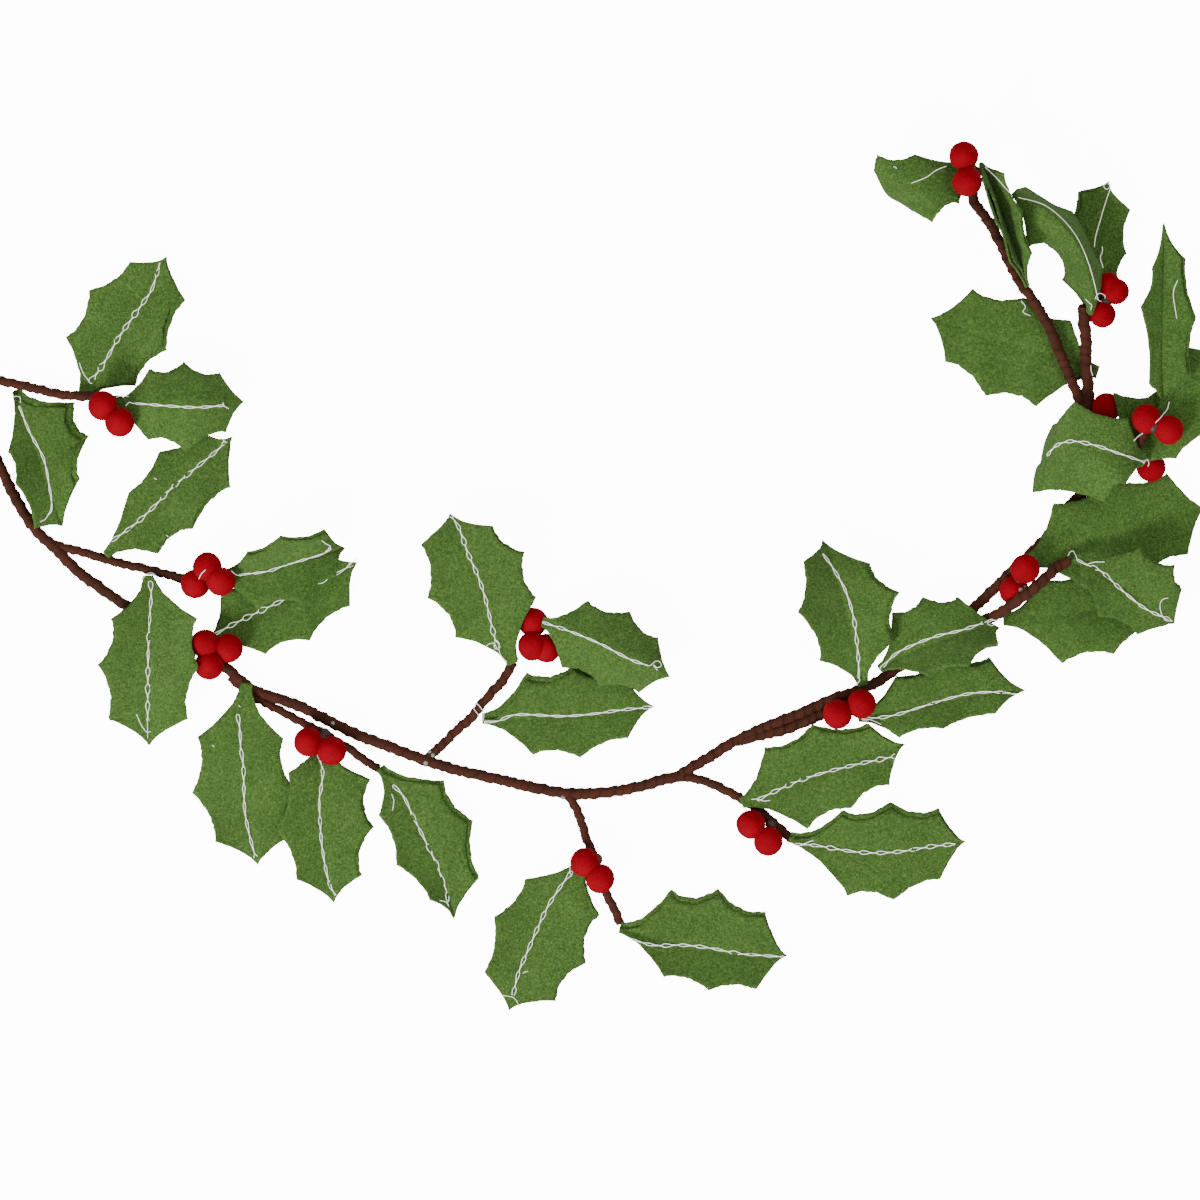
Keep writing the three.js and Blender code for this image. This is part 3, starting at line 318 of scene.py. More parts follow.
# Stems: wire wound with brown tape, with the model's own routes
STEM_COLUMNS = ("name", "diameter", "route")
STEMS = table(STEM_COLUMNS, [
    ("main_left", 5.2, level(2.45, (
        (-313, 217), (-303, 204.5), (-291.5, 186), (-280, 163), (-273, 148.5), (-267.5, 139),
        (-262, 131), (-252, 121.5), (-240, 109.5), (-230, 102.2), (-216.5, 93), (-191, 79.5), (-176, 70),
        (-166.6, 62), (-159, 55), (-152, 50.3)))),
    ("main_middle", 5.2, level(2.45, (
        (-152, 50.3), (-142.5, 47.2), (-130, 42.8), (-117.5, 36.5), (-102.5, 29.2), (-89.5, 24.2),
        (-66, 15.5), (-47.5, 10), (-31, 6.5), (-14, 2.5), (3, -0.5), (19.5, -0.5), (36.5, 2), (53, 6.5),
        (61.5, 8)))),
    ("branch_a", 4.3, (
        (-304, 210, 4), (-292, 208, 5.6), (-280, 205.5, 5.6), (-270, 203.5, 5.6), (-260, 201.2, 5.6),
        (-250, 198.8, 5.6), (-241, 198, 5.6), (-234, 197.8, 5.6), (-220.5, 195.5, 5.8),
        (-217.5, 193.5, 6))),
    ("branch_b", 4.1, level(2, (
        (-259, 127), (-249.5, 122.5), (-242, 120.8), (-235, 119), (-225, 115.8), (-215, 113.2),
        (-205, 111), (-195, 108.5), (-188, 106.8), (-179.5, 108)))),
    ("branch_d", 3.8, level(1.9, (
        (-165, 57.4), (-161.5, 54.2), (-153.5, 47.8), (-148, 44.8), (-142.5, 42), (-137.5, 39.5),
        (-132.5, 36.8), (-127.5, 34.2), (-117, 28.8), (-107.5, 23), (-102.5, 19.5), (-97.5, 16),
        (-90.5, 11.6)))),
    ("branch_e", 4.4, (
        (-67, 16, 2.2), (-57.5, 25, 2.2), (-51, 31.5, 2.2), (-44, 37.5, 2.2), (-39, 44, 2.2),
        (-34, 50, 2.2), (-28, 56.5, 2.4), (-23.7, 64.4, 4.5))),
    ("branch_f", 4.1, level(2, (
        (4.5, -2), (8, -8), (10.5, -14.5), (13, -22.5), (15.5, -28.5), (19, -39), (23, -50.5), (27, -58),
        (30.2, -66)))),
    ("branch_g", 4.2, level(2.1, (
        (60, 8.5), (73.5, 5), (82.5, 1), (91, -3.5), (99.5, -9.5), (108, -16.5), (115.6, -23.4)))),
    ("branch_i", 5, level(2.4, (
        (60.5, 9), (67, 13), (75.5, 18), (84, 23.5), (97, 30), (105, 33.4), (115.7, 37.6), (127, 42.4),
        (138, 47.2), (149, 50.8), (160, 56), (186, 76), (209.5, 94.5), (218, 102.7), (225.5, 110),
        (234, 118), (242, 126), (257.5, 146), (272.5, 158.5), (286, 168)))),
    ("branch_h", 4.8, level(2.4, (
        (88.5, 25.2), (98, 27.9), (106, 29.6), (117, 32.8), (127, 37.1), (135.5, 40.8), (144, 44.6)))),
    ("branch_j", 5, (
        (190, 79, 2.8), (204, 83.5, 4), (213.5, 86.5, 5.6), (221.5, 90.8, 13.2), (228, 95.6, 17.2),
        (235, 100.8, 17.8), (241.5, 106.5, 15.8), (248.5, 112.5, 12.6), (254, 115.5, 11.4))),
    ("branch_n", 5.6, (
        (266, 154, 2.7), (265.5, 172, 4.6), (264, 190, 6.5), (263.5, 206.5, 7.2), (262.7, 216, 7.2),
        (262.7, 226, 7.6), (261.6, 234.5, 9.6), (261.4, 242.6, 12.4))),
    ("branch_m", 4.8, (
        (262.5, 184, 6.2), (259, 197, 6.6), (255.5, 205.5, 6.6), (252, 214, 6.6), (248, 223.5, 6.6),
        (244, 233, 7), (239.5, 240.5, 7.6), (235.5, 247, 8.2), (230.5, 253.5, 9), (225, 263, 9.5),
        (220.5, 273, 10), (216, 281.5, 10), (211, 289, 10), (206.5, 295.5, 9.6), (206, 303, 9),
        (209, 312, 8.6))),
    ("branch_o", 5.2, (
        (275.6, 161.5, 2.6), (274, 168, 8), (276, 173.6, 17.4), (282.5, 172.8, 21.3), (288, 174, 23.4),
        (290.3, 179.6, 25.6))),
])

# Clusters of felt balls: their radius, their centres, and the knots of the wire that binds them
BERRY_COLUMNS = ("name", "radius", "balls", "knots")
BERRIES = table(BERRY_COLUMNS, [
    ("a", 6.9, ((-228, 193, 18), (-219.5, 184.5, 19.3)), ((-218.5, 194, 10.4),)),
    ("b", 6.9, ((-176, 112.5, 14.4), (-182, 104, 10.4), (-169, 105.3, 17.2)), ()),
    ("c", 6.9, ((-177, 74, 12.4), (-165.5, 72, 11.1), (-175, 63.5, 12.6)), ()),
    ("d", 6.9, ((-125.5, 25, 13), (-114, 20.7, 14.6)), ((-119, 26.5, 9.4), (-117.5, 29, 6.8))),
    ("e", 6.9, ((-13.5, 85, 7), (-13.7, 73, 10), (-6.8, 72, 8)), ()),
    ("f", 6.9, ((12.5, -35, 11.4), (20, -43, 11.2)), ((18.5, -33.5, 5.4),)),
    ("g", 6.9, ((95.4, -16.2, 7.1), (104, -24.5, 7.5)), ((105.5, -16, 5),)),
    ("h", 6.9, ((138.5, 39, 11.6), (150.5, 44, 11.8)), ()),
    ("j", 6.9, ((232, 111.5, 15.6), (226.7, 100.7, 8.5)), ((229.3, 106.6, 12.3),)),
    ("k", 6.9, ((273, 192.2, 10.6),), ()),
    ("o", 6.9, ((303, 180.5, 31.4), (291.8, 186.2, 30)), ((295.6, 182, 32.4),)),
    ("p", 6.9, ((295.2, 162.2, 9.5),), ()),
    ("n", 6.2, ((277.5, 250, 10.3), (273.5, 253, 10.3), (270.8, 238.5, 10.4)), ((272.5, 245, 11),)),
    ("m", 6.9, ((201, 317, 30), (202.6, 304, 31.7)), ((202, 310.5, 30.4),)),
])

# Studio: the floors' heights in millimetres, the lamps in metres and watts
FLOOR_WIDTH = 6000.0
FLOORS = table(("name", "height", "finish", "glow"), [
    ("floor", 0, "pale_floor", 14.0),
    ("bounce", -1, "plain_white", 0.0),
])
LAMPS = table(("name", "place", "size", "power"), [
    ("key", (-1.5, -1.9, 1.9), 0.8, 100),
    ("fill", (1.4, 0.8, 2.4), 1.6, 14),
])
LAMP_TARGET = (0.02, 0.1, 0)
SURROUND_STRENGTH = 0.66

# Stray fibres: how many to a square metre of bare rim, and their length in millimetres
FIBRES = table(("of", "slot", "density", "length", "seed"), [
    ("leaves", "green_felt", 1100000.0, 0.8, 1),
    ("berries", "red_felt", 400000.0, 0.9, 2),
    ("stems", "wrapped_stem", 160000.0, 0.9, 3),
])

# Colours, scene linear
FELT_DARK = (0.030, 0.067, 0.013)
FELT_MIDDLE = (0.064, 0.140, 0.024)
FELT_LIGHT = (0.132, 0.258, 0.055)
BERRY_DARK = (0.230, 0.000, 0.006)
BERRY_BRIGHT = (0.370, 0.000, 0.010)
TAPE_DARK = (0.022, 0.006, 0.002)
TAPE_LIGHT = (0.098, 0.021, 0.007)
THREAD_COLOUR = (0.98, 0.98, 0.96)
# Strength of the thread's painted glow, which brightens it though it is no lamp
THREAD_PAINTED_GLOW = 0.6
KNOT_COLOUR = (0.030, 0.015, 0.012)
GLUE_DULL = (0.15, 0.10, 0.08)
GLUE_PALE = (0.50, 0.46, 0.42)
FLOOR_COLOUR = (0.9, 0.9, 0.9)


class Value:
    """A socket of a node tree; arithmetic on it adds the tree's own Math nodes."""

    def __init__(self, graph, socket):
        self.graph = graph
        self.socket = socket

    def math(self, operation, *operands):
        return self.graph.add("ShaderNodeMath", {"operation": operation}, dict(enumerate(operands)))

    def __add__(self, other):
        return self.math("ADD", self, other)

    def __sub__(self, other):
        return self.math("SUBTRACT", self, other)

    def __mul__(self, other):
        return self.math("MULTIPLY", self, other)

    def __truediv__(self, other):
        return self.math("DIVIDE", self, other)

    def __pow__(self, other):
        return self.math("POWER", self, other)

    def __radd__(self, other):
        return self.math("ADD", other, self)

    def __rsub__(self, other):
        return self.math("SUBTRACT", other, self)

    def __rmul__(self, other):
        return self.math("MULTIPLY", other, self)

    def __neg__(self):
        return self * -1.0

    def apply(self, operation, *operands):
        """A function of this value, such as SINE, FRACT, FLOOR or MAXIMUM."""
        return self.math(operation, self, *operands)


class Graph:
    """A node tree being built."""

    def __init__(self, tree):
        self.tree = tree

    def add(self, kind, settings=None, sockets=None, output=0):
        """Adds a node, its settings and its sockets' values or links, and gives one of its outputs."""
        node = self.tree.nodes.new(kind)
        for name, value in (settings or {}).items():
            if name == "stops":
                self.set_stops(node.color_ramp, value)
            else:
                setattr(node, name, value)
        for key, value in (sockets or {}).items():
            if isinstance(value, Value):
                self.tree.links.new(value.socket, node.inputs[key])
            else:
                node.inputs[key].default_value = value
        return Value(self, node.outputs[output]) if node.outputs else node

    @staticmethod
    def set_stops(ramp, stops):
        while len(ramp.elements) > 1:
            ramp.elements.remove(ramp.elements[-1])
        ramp.elements[0].position = stops[0][0]
        ramp.elements[0].color = stops[0][1]
        for position, colour in stops[1:]:
            ramp.elements.new(position).color = colour

    def vector(self, operation, *operands):
        return self.add("ShaderNodeVectorMath", {"operation": operation}, dict(enumerate(operands)))

    def blend(self, factor, low, high):
        """One colour turning into another."""
        sockets = {0: factor, 6: low, 7: high}
        return self.add("ShaderNodeMix", {"data_type": "RGBA"}, sockets, 2)

    def noise(self, vector, scale, detail, **more):
        """Noise in three dimensions, about a half on average."""
        sockets = {"Vector": vector, "Scale": scale, "Detail": detail}
        sockets |= {name.title(): value for name, value in more.items()}
        return self.add("ShaderNodeTexNoise", {"noise_dimensions": "3D"}, sockets)

    def field(self, name, kind="FLOAT"):
        """What an attribute of the geometry holds."""
        return self.add("GeometryNodeInputNamedAttribute", {"data_type": kind}, {"Name": name})

    def stored(self, geometry, name, value):
        """The geometry with a value kept on its points."""
        sockets = {"Geometry": geometry, "Name": name, "Value": value}
        settings = {"data_type": "FLOAT", "domain": "POINT"}
        return self.add("GeometryNodeStoreNamedAttribute", settings, sockets)

    def moved(self, geometry, offset):
        return self.add("GeometryNodeSetPosition", None, {"Geometry": geometry, "Offset": offset})

    def triple(self, x=0.0, y=0.0, z=0.0):
        return self.add("ShaderNodeCombineXYZ", None, {0: x, 1: y, 2: z})

    def circle(self, sides, radius):
        sockets = {"Resolution": sides, "Radius": radius}
        return self.add("GeometryNodeCurvePrimitiveCircle", {"mode": "RADIUS"}, sockets)


def opaque(colour):
    return (*colour, 1.0)


class Finish(Graph):
    """A material being built, with the patterns that several of them share."""

    def __init__(self, name, sheen=0.0, sheen_tint=(1, 1, 1), specular=0.3, sheen_roughness=0.5):
        self.material = bpy.data.materials.new(name)
        self.material.use_nodes = True
        super().__init__(self.material.node_tree)
        self.shader = self.tree.nodes["Principled BSDF"]
        self.shader.inputs["Sheen Weight"].default_value = sheen
        self.shader.inputs["Sheen Tint"].default_value = opaque(sheen_tint)
        self.shader.inputs["Sheen Roughness"].default_value = sheen_roughness
        self.shader.inputs["Specular IOR Level"].default_value = specular
        self.place = self.add("ShaderNodeTexCoord", output=3)

    def grain(self, size_mm, detail=2.0, roughness=0.5):
        """Noise whose blotches are about the size given."""
        return self.noise(self.place, 0.5 / (size_mm * MM), detail, roughness=roughness)

    def tangle(self, size_mm, width, shift=0.0):
        """Thin curled lines in every direction, 1 on a line and 0 beside it."""
        sockets = {"Vector": self.place, "Location": (shift, shift, shift)}
        laid = self.add("ShaderNodeMapping", {"vector_type": "POINT"}, sockets)
        curled = self.noise(laid, 0.5 / (size_mm * MM), 2.0, distortion=1.5)
        return self.sharpened(width - (curled - 0.5).apply("ABSOLUTE"), 0.0, width)

    def sharpened(self, value, low, high):
        """0 below low, 1 above high."""
        sockets = {0: value, 1: low, 2: high, 3: 0.0, 4: 1.0}
        return self.add("ShaderNodeMapRange", {"clamp": True}, sockets)

    def attribute(self, name):
        return self.add("ShaderNodeAttribute", {"attribute_name": name}, output=2)

    def finish(self, colour, roughness, height, strength, distance_mm):
        """Links what varies to the shader, with a bump for the height."""
        sockets = {"Strength": strength, "Distance": distance_mm * MM, "Height": height}
        bump = self.add("ShaderNodeBump", None, sockets)
        for name, value in (("Base Color", colour), ("Roughness", roughness), ("Normal", bump)):
            self.tree.links.new(value.socket, self.shader.inputs[name])
        return self.material


def felt_finish():
    """Wool felt in a heather of greens: blotches, a dense grain, and a tangle of light and dark fibres."""
    f = Finish("green_wool_felt", sheen=0.12, sheen_tint=(0.75, 0.95, 0.6), specular=0.12)
    blotches = f.grain(8, 2)
    heather = f.grain(0.7, 4, 0.75)
    grain = f.grain(0.35, 3, 0.75)
    light_fibres = f.tangle(1.3, 0.045)
    dark_fibres = f.tangle(1.7, 0.045, 0.4)
    tone = heather * 1.15 + blotches * 0.25 + grain * 0.8 - 0.6
    ramp = ((0.22, opaque(FELT_DARK)), (0.5, opaque(FELT_MIDDLE)), (0.8, opaque(FELT_LIGHT)))
    body = f.add("ShaderNodeValToRGB", {"stops": ramp}, {0: tone})
    colour = f.blend(dark_fibres * 0.45, body, opaque(FELT_DARK))
    colour = f.blend(light_fibres * 0.4, colour, opaque(FELT_LIGHT))
    height = heather * 0.5 + grain * 0.7 + light_fibres * 0.5
    return f.finish(colour, 0.82 + grain * 0.16, height, 0.6, 0.4)


def berry_finish():
    """Red flocking over a ball: soft, dense and a little uneven."""
    f = Finish("red_felt", sheen=0.2, sheen_tint=(1, 0.05, 0.05), specular=0.1, sheen_roughness=0.4)
    blotches = f.grain(4, 2)
    grain = f.grain(0.35, 3, 0.7)
    tone = f.sharpened(blotches * 0.5 + grain * 0.5, 0.3, 0.72)
    colour = f.blend(tone, opaque(BERRY_DARK), opaque(BERRY_BRIGHT))
    return f.finish(colour, 0.75 + grain * 0.2, grain + blotches * 0.3, 0.5, 0.3)


def tape_finish():
    """Brown crepe tape wound on the wire: painted shade in the lap's step, fine creases across."""
    f = Finish("brown_stem_tape", sheen=0.05, sheen_tint=(0.8, 0.5, 0.4), specular=0.25)
    lap = f.attribute("lap")
    grain = f.grain(0.4, 3, 0.7)
    cloud = f.grain(5, 2)
    # Painted shade: the colour darkens where each turn of tape steps down to the next, as shade falls in the
    # step.
    step = f.sharpened(lap, 0.82, 1.0)
    tone = cloud * 0.7 + grain * 0.5 - step * 0.55
    colour = f.blend(f.sharpened(tone, 0.25, 0.95), opaque(TAPE_DARK), opaque(TAPE_LIGHT))
    return f.finish(colour, 0.7 + grain * 0.2, grain * 0.8 + lap * 0.2, 0.5, 0.3)


def thread_finish():
    """Silver-white twisted thread with a slight shine, and a painted glow in its own colour that brightens
    it.
    """
    f = Finish("silver_thread", sheen=0.1, specular=0.5)
    # Painted light: the thread glows in its own colour though it is no lamp.
    f.shader.inputs["Emission Color"].default_value = opaque(THREAD_COLOUR)
    f.shader.inputs["Emission Strength"].default_value = THREAD_PAINTED_GLOW
    strands = f.grain(0.3, 1, 0.5)
    shade = tuple(0.78 * part for part in THREAD_COLOUR)
    colour = f.blend(f.sharpened(strands, 0.35, 0.65), opaque(shade), opaque(THREAD_COLOUR))
    return f.finish(colour, 0.4 + strands * 0.2, strands, 0.4, 0.15)


def knot_finish():
    """The dull brown-grey of bound wire and glue."""
    f = Finish("bound_wire", specular=0.45)
    grain = f.grain(0.8, 3, 0.6)
    light = tuple(2.4 * part for part in KNOT_COLOUR)
    return f.finish(f.blend(grain, opaque(KNOT_COLOUR), opaque(light)), 0.35 + grain * 0.3, grain, 0.6, 0.4)


def glue_finish():
    """Clear glue, set in whitish drops."""
    f = Finish("set_glue", specular=0.6)
    grain = f.grain(0.9, 2)
    return f.finish(f.blend(grain, opaque(GLUE_DULL), opaque(GLUE_PALE)), 0.2 + grain * 0.15, grain, 0.3, 0.3)


def floor_finish(name, glow):
    """Plain pale paper, lit from behind where it glows."""
    f = Finish(name, specular=0.1)
    f.shader.inputs["Base Color"].default_value = opaque(FLOOR_COLOUR)
    f.shader.inputs["Roughness"].default_value = 0.9
    if glow:
        f.shader.inputs["Emission Color"].default_value = opaque(FLOOR_COLOUR)
        f.shader.inputs["Emission Strength"].default_value = glow
    return f.material


def smooth_line(points, step):
    """Points at even steps along a smooth line through the points given."""
    points = np.array(points, float)
    before = 2 * points[0] - points[1]
    after = 2 * points[-1] - points[-2]
    line = np.vstack([before, points, after])
    knots = np.concatenate([[0], np.cumsum(np.linalg.norm(np.diff(line, axis=0), axis=1) ** 0.5)])
    pieces = []
    for i in range(1, len(line) - 2):
        p, t = line[i - 1:i + 3], knots[i - 1:i + 3]
        at = np.linspace(t[1], t[2], 24, endpoint=False)[:, None]
        a = [(t[k + 1] - at) / (t[k + 1] - t[k]) * p[k] + (at - t[k]) / (t[k + 1] - t[k]) * p[k + 1]
             for k in range(3)]
        b = [(t[k + 2] - at) / (t[k + 2] - t[k]) * a[k] + (at - t[k]) / (t[k + 2] - t[k]) * a[k + 1]
             for k in range(2)]
        pieces.append((t[2] - at) / (t[2] - t[1]) * b[0] + (at - t[1]) / (t[2] - t[1]) * b[1])
    fine = np.vstack([*pieces, points[-1:]])
    length = np.concatenate([[0], np.cumsum(np.linalg.norm(np.diff(fine, axis=0), axis=1))])
    stops = np.linspace(0, length[-1], max(3, round(length[-1] / step) + 1))
    return np.stack([np.interp(stops, length, fine[:, axis]) for axis in range(fine.shape[1])], axis=1)


def waves(seed, distance, sizes):
    """A gentle uneven wave: one sine for each (wavelength, height), with its own fixed start."""
    starts = np.random.default_rng(seed).uniform(0, 2 * math.pi, len(sizes))
    return sum(high * np.sin(2 * math.pi * distance / long + start)
               for (long, high), start in zip(sizes, starts))


def die_half_width(along):
    """Half the die's width at distances along the midrib."""
    passed = np.clip(along / SPINE_ALONG[0], 0, 1)
    shoulder = NECK_HALF_WIDTH + (SPINE_OUT[0] - NECK_HALF_WIDTH) * passed ** SHOULDER_POWER
    straight = np.interp(along, SPINE_ALONG, SPINE_OUT)
    after = np.clip(np.searchsorted(SPINE_ALONG, along - 1e-9), 1, 3)
    share = (along - SPINE_ALONG[after - 1]) / (SPINE_ALONG[after] - SPINE_ALONG[after - 1])
    hollow = SCALLOP_DEPTH[after] * 4 * share * (1 - share)
    return np.where(along <= SPINE_ALONG[0], shoulder, np.maximum(0, straight - hollow))


def cut_area(leaf):
    """Flat area in square metres of a leaf's two layers, from how wide its wings are along the felt."""
    along = (np.arange(200) + 0.5) / 200 * LEAF_LENGTH
    area = 0
    for side in ("left", "right"):
        wing = np.abs(np.interp(along, SPINE_ALONG[[0, 2]], leaf[side]))
        rise = leaf["lift"] * np.sqrt(1 - np.minimum(1, wing) ** 2)
        area += (die_half_width(along) * np.hypot(wing, rise)).mean() * LEAF_LENGTH
    return 2 * area * leaf["size"] * MM * MM


def midrib_pitch(leaf, share):
    neck, middle, tip = leaf["pitch"]
    lower = neck + (middle - neck) * 2 * share
    upper = middle + (tip - middle) * (2 * share - 1)
    return np.radians(np.where(share < 0.5, lower, upper))


def midrib_compass(leaf, share):
    return np.radians(leaf["head"] + leaf["turn"] * (share - 0.5))


def midrib_walk(leaf):
    """The midrib as a walk in small steps from the neck."""
    share = (np.arange(MIDRIB_STEPS) + 0.5) / MIDRIB_STEPS
    pitch, compass = midrib_pitch(leaf, share), midrib_compass(leaf, share)
    step = leaf["size"] * LEAF_LENGTH / MIDRIB_STEPS
    flat = np.cos(pitch)
    moves = step * np.stack([flat * np.cos(compass), flat * np.sin(compass), np.sin(pitch)], axis=1)
    return np.array([leaf["x"], leaf["y"], leaf["z"]]) + np.vstack([np.zeros(3), np.cumsum(moves, axis=0)])


def bent_points(leaf, walk, along, across):
    """Points of a leaf's middle surface as bending alone puts them; along and across are on the flat die."""
    first = np.where(across >= 0, leaf["left"][0], leaf["right"][0])
    last = np.where(across >= 0, leaf["left"][1], leaf["right"][1])
    passed = (along - SPINE_ALONG[0]) / (SPINE_ALONG[2] - SPINE_ALONG[0])
    wing = first + (last - first) * np.clip(passed, 0, 1)
    lift = leaf["lift"] * np.sign(wing) * np.sqrt(1 - np.minimum(1, np.abs(wing)) ** 2)
    share = np.clip(along + leaf["skew"] * across, 0, LEAF_LENGTH * MIDRIB_END_LIMIT) / LEAF_LENGTH
    place = np.clip(share, 0, 1) * MIDRIB_STEPS
    low = np.minimum(MIDRIB_STEPS - 1, place.astype(int))
    part = (place - low)[..., None]
    base = walk[low] * (1 - part) + walk[low + 1] * part
    compass, pitch = midrib_compass(leaf, share), midrib_pitch(leaf, share)
    beyond = np.maximum(0, share - 1) * leaf["size"] * LEAF_LENGTH
    side, reach = across * np.abs(wing), np.abs(across)
    rise = lift * reach * (RISE_BY_MIDRIB + RISE_GROWTH * reach / WING_SPAN)
    ahead = beyond * np.cos(pitch) - rise * np.sin(pitch)
    offset = np.stack([
        ahead * np.cos(compass) - side * np.sin(compass),
        ahead * np.sin(compass) + side * np.cos(compass),
        beyond * np.sin(pitch) + rise * np.cos(pitch)], axis=-1)
    return base + offset


def leaf_shape(leaf):
    """A leaf's midrib, and how far its tip and the spines of each wing are drawn to their seen places."""
    walk = midrib_walk(leaf)
    seen = next((row for row in SPINE_PLACES if row["name"] == leaf["name"]), None)

    def pull(place, along, across):
        return np.array(place) - bent_points(leaf, walk, np.array(along), np.array(across))[:2]

    tip = pull(seen["tip"], LEAF_LENGTH, 0.0) if seen and seen["tip"] else np.zeros(2)
    shape = {"walk": walk, "tip": tip}
    for side, sign in (("left", 1), ("right", -1)):
        stops, pulls = [0.0], [np.zeros(2)]
        for place, along, out in zip(seen[side] if seen else (), SPINE_ALONG, SPINE_OUT):
            if place:
                stops.append(along)
                pulls.append(pull(place, along, sign * out))
        shape[side] = ([*stops, LEAF_LENGTH], np.array([*pulls, tip]))
    return shape


def leaf_points(leaf, shape, along, across):
    """Points of a leaf's middle surface, with its outline drawn to the seen spines."""
    drawn = np.minimum(along, LEAF_LENGTH)
    middle = (drawn / LEAF_LENGTH)[..., None] ** 2 * shape["tip"]
    edges = []
    for side in ("left", "right"):
        stops, pulls = shape[side]
        edges.append(np.stack([np.interp(drawn, stops, pulls[:, axis]) for axis in (0, 1)], axis=-1))
    outer = np.where((across >= 0)[..., None], edges[0], edges[1])
    width = np.maximum(die_half_width(drawn), NECK_HALF_WIDTH)
    reach = np.minimum(PULL_LIMIT, np.abs(across) / width)[..., None]
    points = bent_points(leaf, shape["walk"], along, across)
    points[..., :2] += middle + (outer - middle) * reach
    return points


def leaf_normals(leaf, shape, along, across):
    along = np.maximum(along, ALONG_NECK)

    def slope(forward, outward):
        there = leaf_points(leaf, shape, along + forward, across + outward)
        return there - leaf_points(leaf, shape, along - forward, across - outward)

    normal = np.cross(slope(NUDGE, 0.0), slope(0.0, NUDGE))
    return normal / np.linalg.norm(normal, axis=-1, keepdims=True)


def layer_rows():
    """Distances along the midrib of a layer's rows, up to the tip."""
    end = LEAF_LENGTH - TIP_INSET
    stops = [0.0, *SPINE_ALONG[:3], end]
    rows = [np.linspace(a, b, n, endpoint=False) for a, b, n in zip(stops, stops[1:], ROWS_PER_STRETCH)]
    return np.concatenate([*rows, [end]])


def layer_wings(leaf, along, upper, seed):
    """Half widths of a layer's left and right wings, with the waves of the cut and what the slip hides."""
    slip_neck, slip_tip = leaf["slip"]
    slip = slip_neck + (slip_tip - slip_neck) * along / LEAF_LENGTH
    slip = slip * np.clip((LEAF_LENGTH - along) / TIP_FADE, 0, 1)
    hidden = slip if upper else -slip
    width = die_half_width(along)
    fade = np.clip(width / EDGE_FADE, 0, 1)
    left = width - np.maximum(0, hidden) + fade * waves(seed, along, EDGE_WAVES)
    right = width - np.maximum(0, -hidden) + fade * waves(seed + 1, along, EDGE_WAVES)
    return left, right


def felt_layer(leaf, shape, upper, seed):
    """Vertices, faces and rim shares of one closed felt layer, upper or under, in millimetres."""
    along = layer_rows()
    left, right = layer_wings(leaf, along, upper, seed)
    inset = np.minimum(RIM_INSET, RIM_INSET_SHARE * (left + right))
    shares = COLUMN_SHARES[None, :]
    reach = np.where(shares >= 0, (left - inset)[:, None], (right - inset)[:, None])
    across = shares * reach
    rows = np.repeat(along[:, None], across.shape[1], axis=1)
    middle = leaf_points(leaf, shape, rows, across)
    normal = leaf_normals(leaf, shape, rows, across)
    swell = waves(seed + 2, rows + SWELL_SLANT * across, SWELL_WAVES) * np.abs(shares)
    groove = GROOVE_DEPTH * np.exp(-(across / GROOVE_WIDTH) ** 2)
    groove = groove * np.clip(along / GROOVE_FADE, 0, 1)[:, None]
    bend = (swell - groove)[..., None]
    half = LAYER_THICKNESS / 2
    centre = (half + LAYER_GAP / 2) * (1 if upper else -1)
    top = middle + normal * (bend + centre + half)
    bottom = middle + normal * (bend + centre - half)
    rim_rows = np.stack([along, along], axis=1)
    rim_across = np.stack([-right, left], axis=1)
    rim = leaf_points(leaf, shape, rim_rows, rim_across)
    rim_bend = np.stack([bend[:, 0], bend[:, -1]], axis=1)
    rim = rim + leaf_normals(leaf, shape, rim_rows, rim_across) * (rim_bend + centre)
    loops = np.concatenate([top, rim[:, 1:], bottom[:, ::-1], rim[:, :1]], axis=1)
    points = loops.reshape(-1, 3)
    points[:, 2] = np.maximum(points[:, 2], FLOOR_GAP)
    return points, *layer_faces(*loops.shape[:2], across.shape[1])


def layer_faces(count, around, columns):
    """Faces of a layer of so many rows of points, and the share of stray fibres at each point."""
    faces = []
    for row in range(count - 1):
        for k in range(around):
            a, b = row * around + k, row * around + (k + 1) % around
            faces.append((a, b, b + around, a + around))
    for row, turned in ((0, False), (count - 1, True)):
        faces += end_cap(row * around, columns, around, turned)
    fibres = np.zeros((count, around))
    fibres[:, [columns, around - 1]] = RIM_FIBRES
    fibres[:, [0, columns - 1, columns + 1, around - 2]] = NEAR_RIM_FIBRES
    fibres[[0, -1]] = NEAR_RIM_FIBRES
    return faces, fibres.ravel()


def end_cap(start, columns, around, turned):
    """Faces across the end of a layer, between its top and bottom columns."""
    top = [start + k for k in range(columns)]
    bottom = [start + around - 2 - k for k in range(columns)]
    faces = [(top[k], bottom[k], bottom[k + 1], top[k + 1]) for k in range(columns - 1)]
    faces.append((top[-1], bottom[-1], start + columns))
    faces.append((top[0], start + around - 1, bottom[0]))
    return [face[::-1] for face in faces] if turned else faces


def put_in_scene(name, data):
    made = bpy.data.objects.new(name, data)
    bpy.context.scene.collection.objects.link(made)
    return made


def make_mesh(name, points, faces, material, smooth=True):
    """A mesh object from points in millimetres."""
    mesh = bpy.data.meshes.new(name)
    mesh.from_pydata((np.asarray(points) * MM).tolist(), [], faces)
    mesh.polygons.foreach_set("use_smooth", [smooth] * len(mesh.polygons))
    mesh.materials.append(material)
    return put_in_scene(name, mesh)


def line_object(name, line, vectors=None):
    """An object of bare edges along a line in millimetres, for a node tree to follow."""
    mesh = bpy.data.meshes.new(name)
    mesh.from_pydata((line * MM).tolist(), [(i, i + 1) for i in range(len(line) - 1)], [])
    if vectors is not None:
        up = mesh.attributes.new("up", "FLOAT_VECTOR", "POINT")
        up.data.foreach_set("vector", vectors.ravel())
    return put_in_scene(name, mesh)


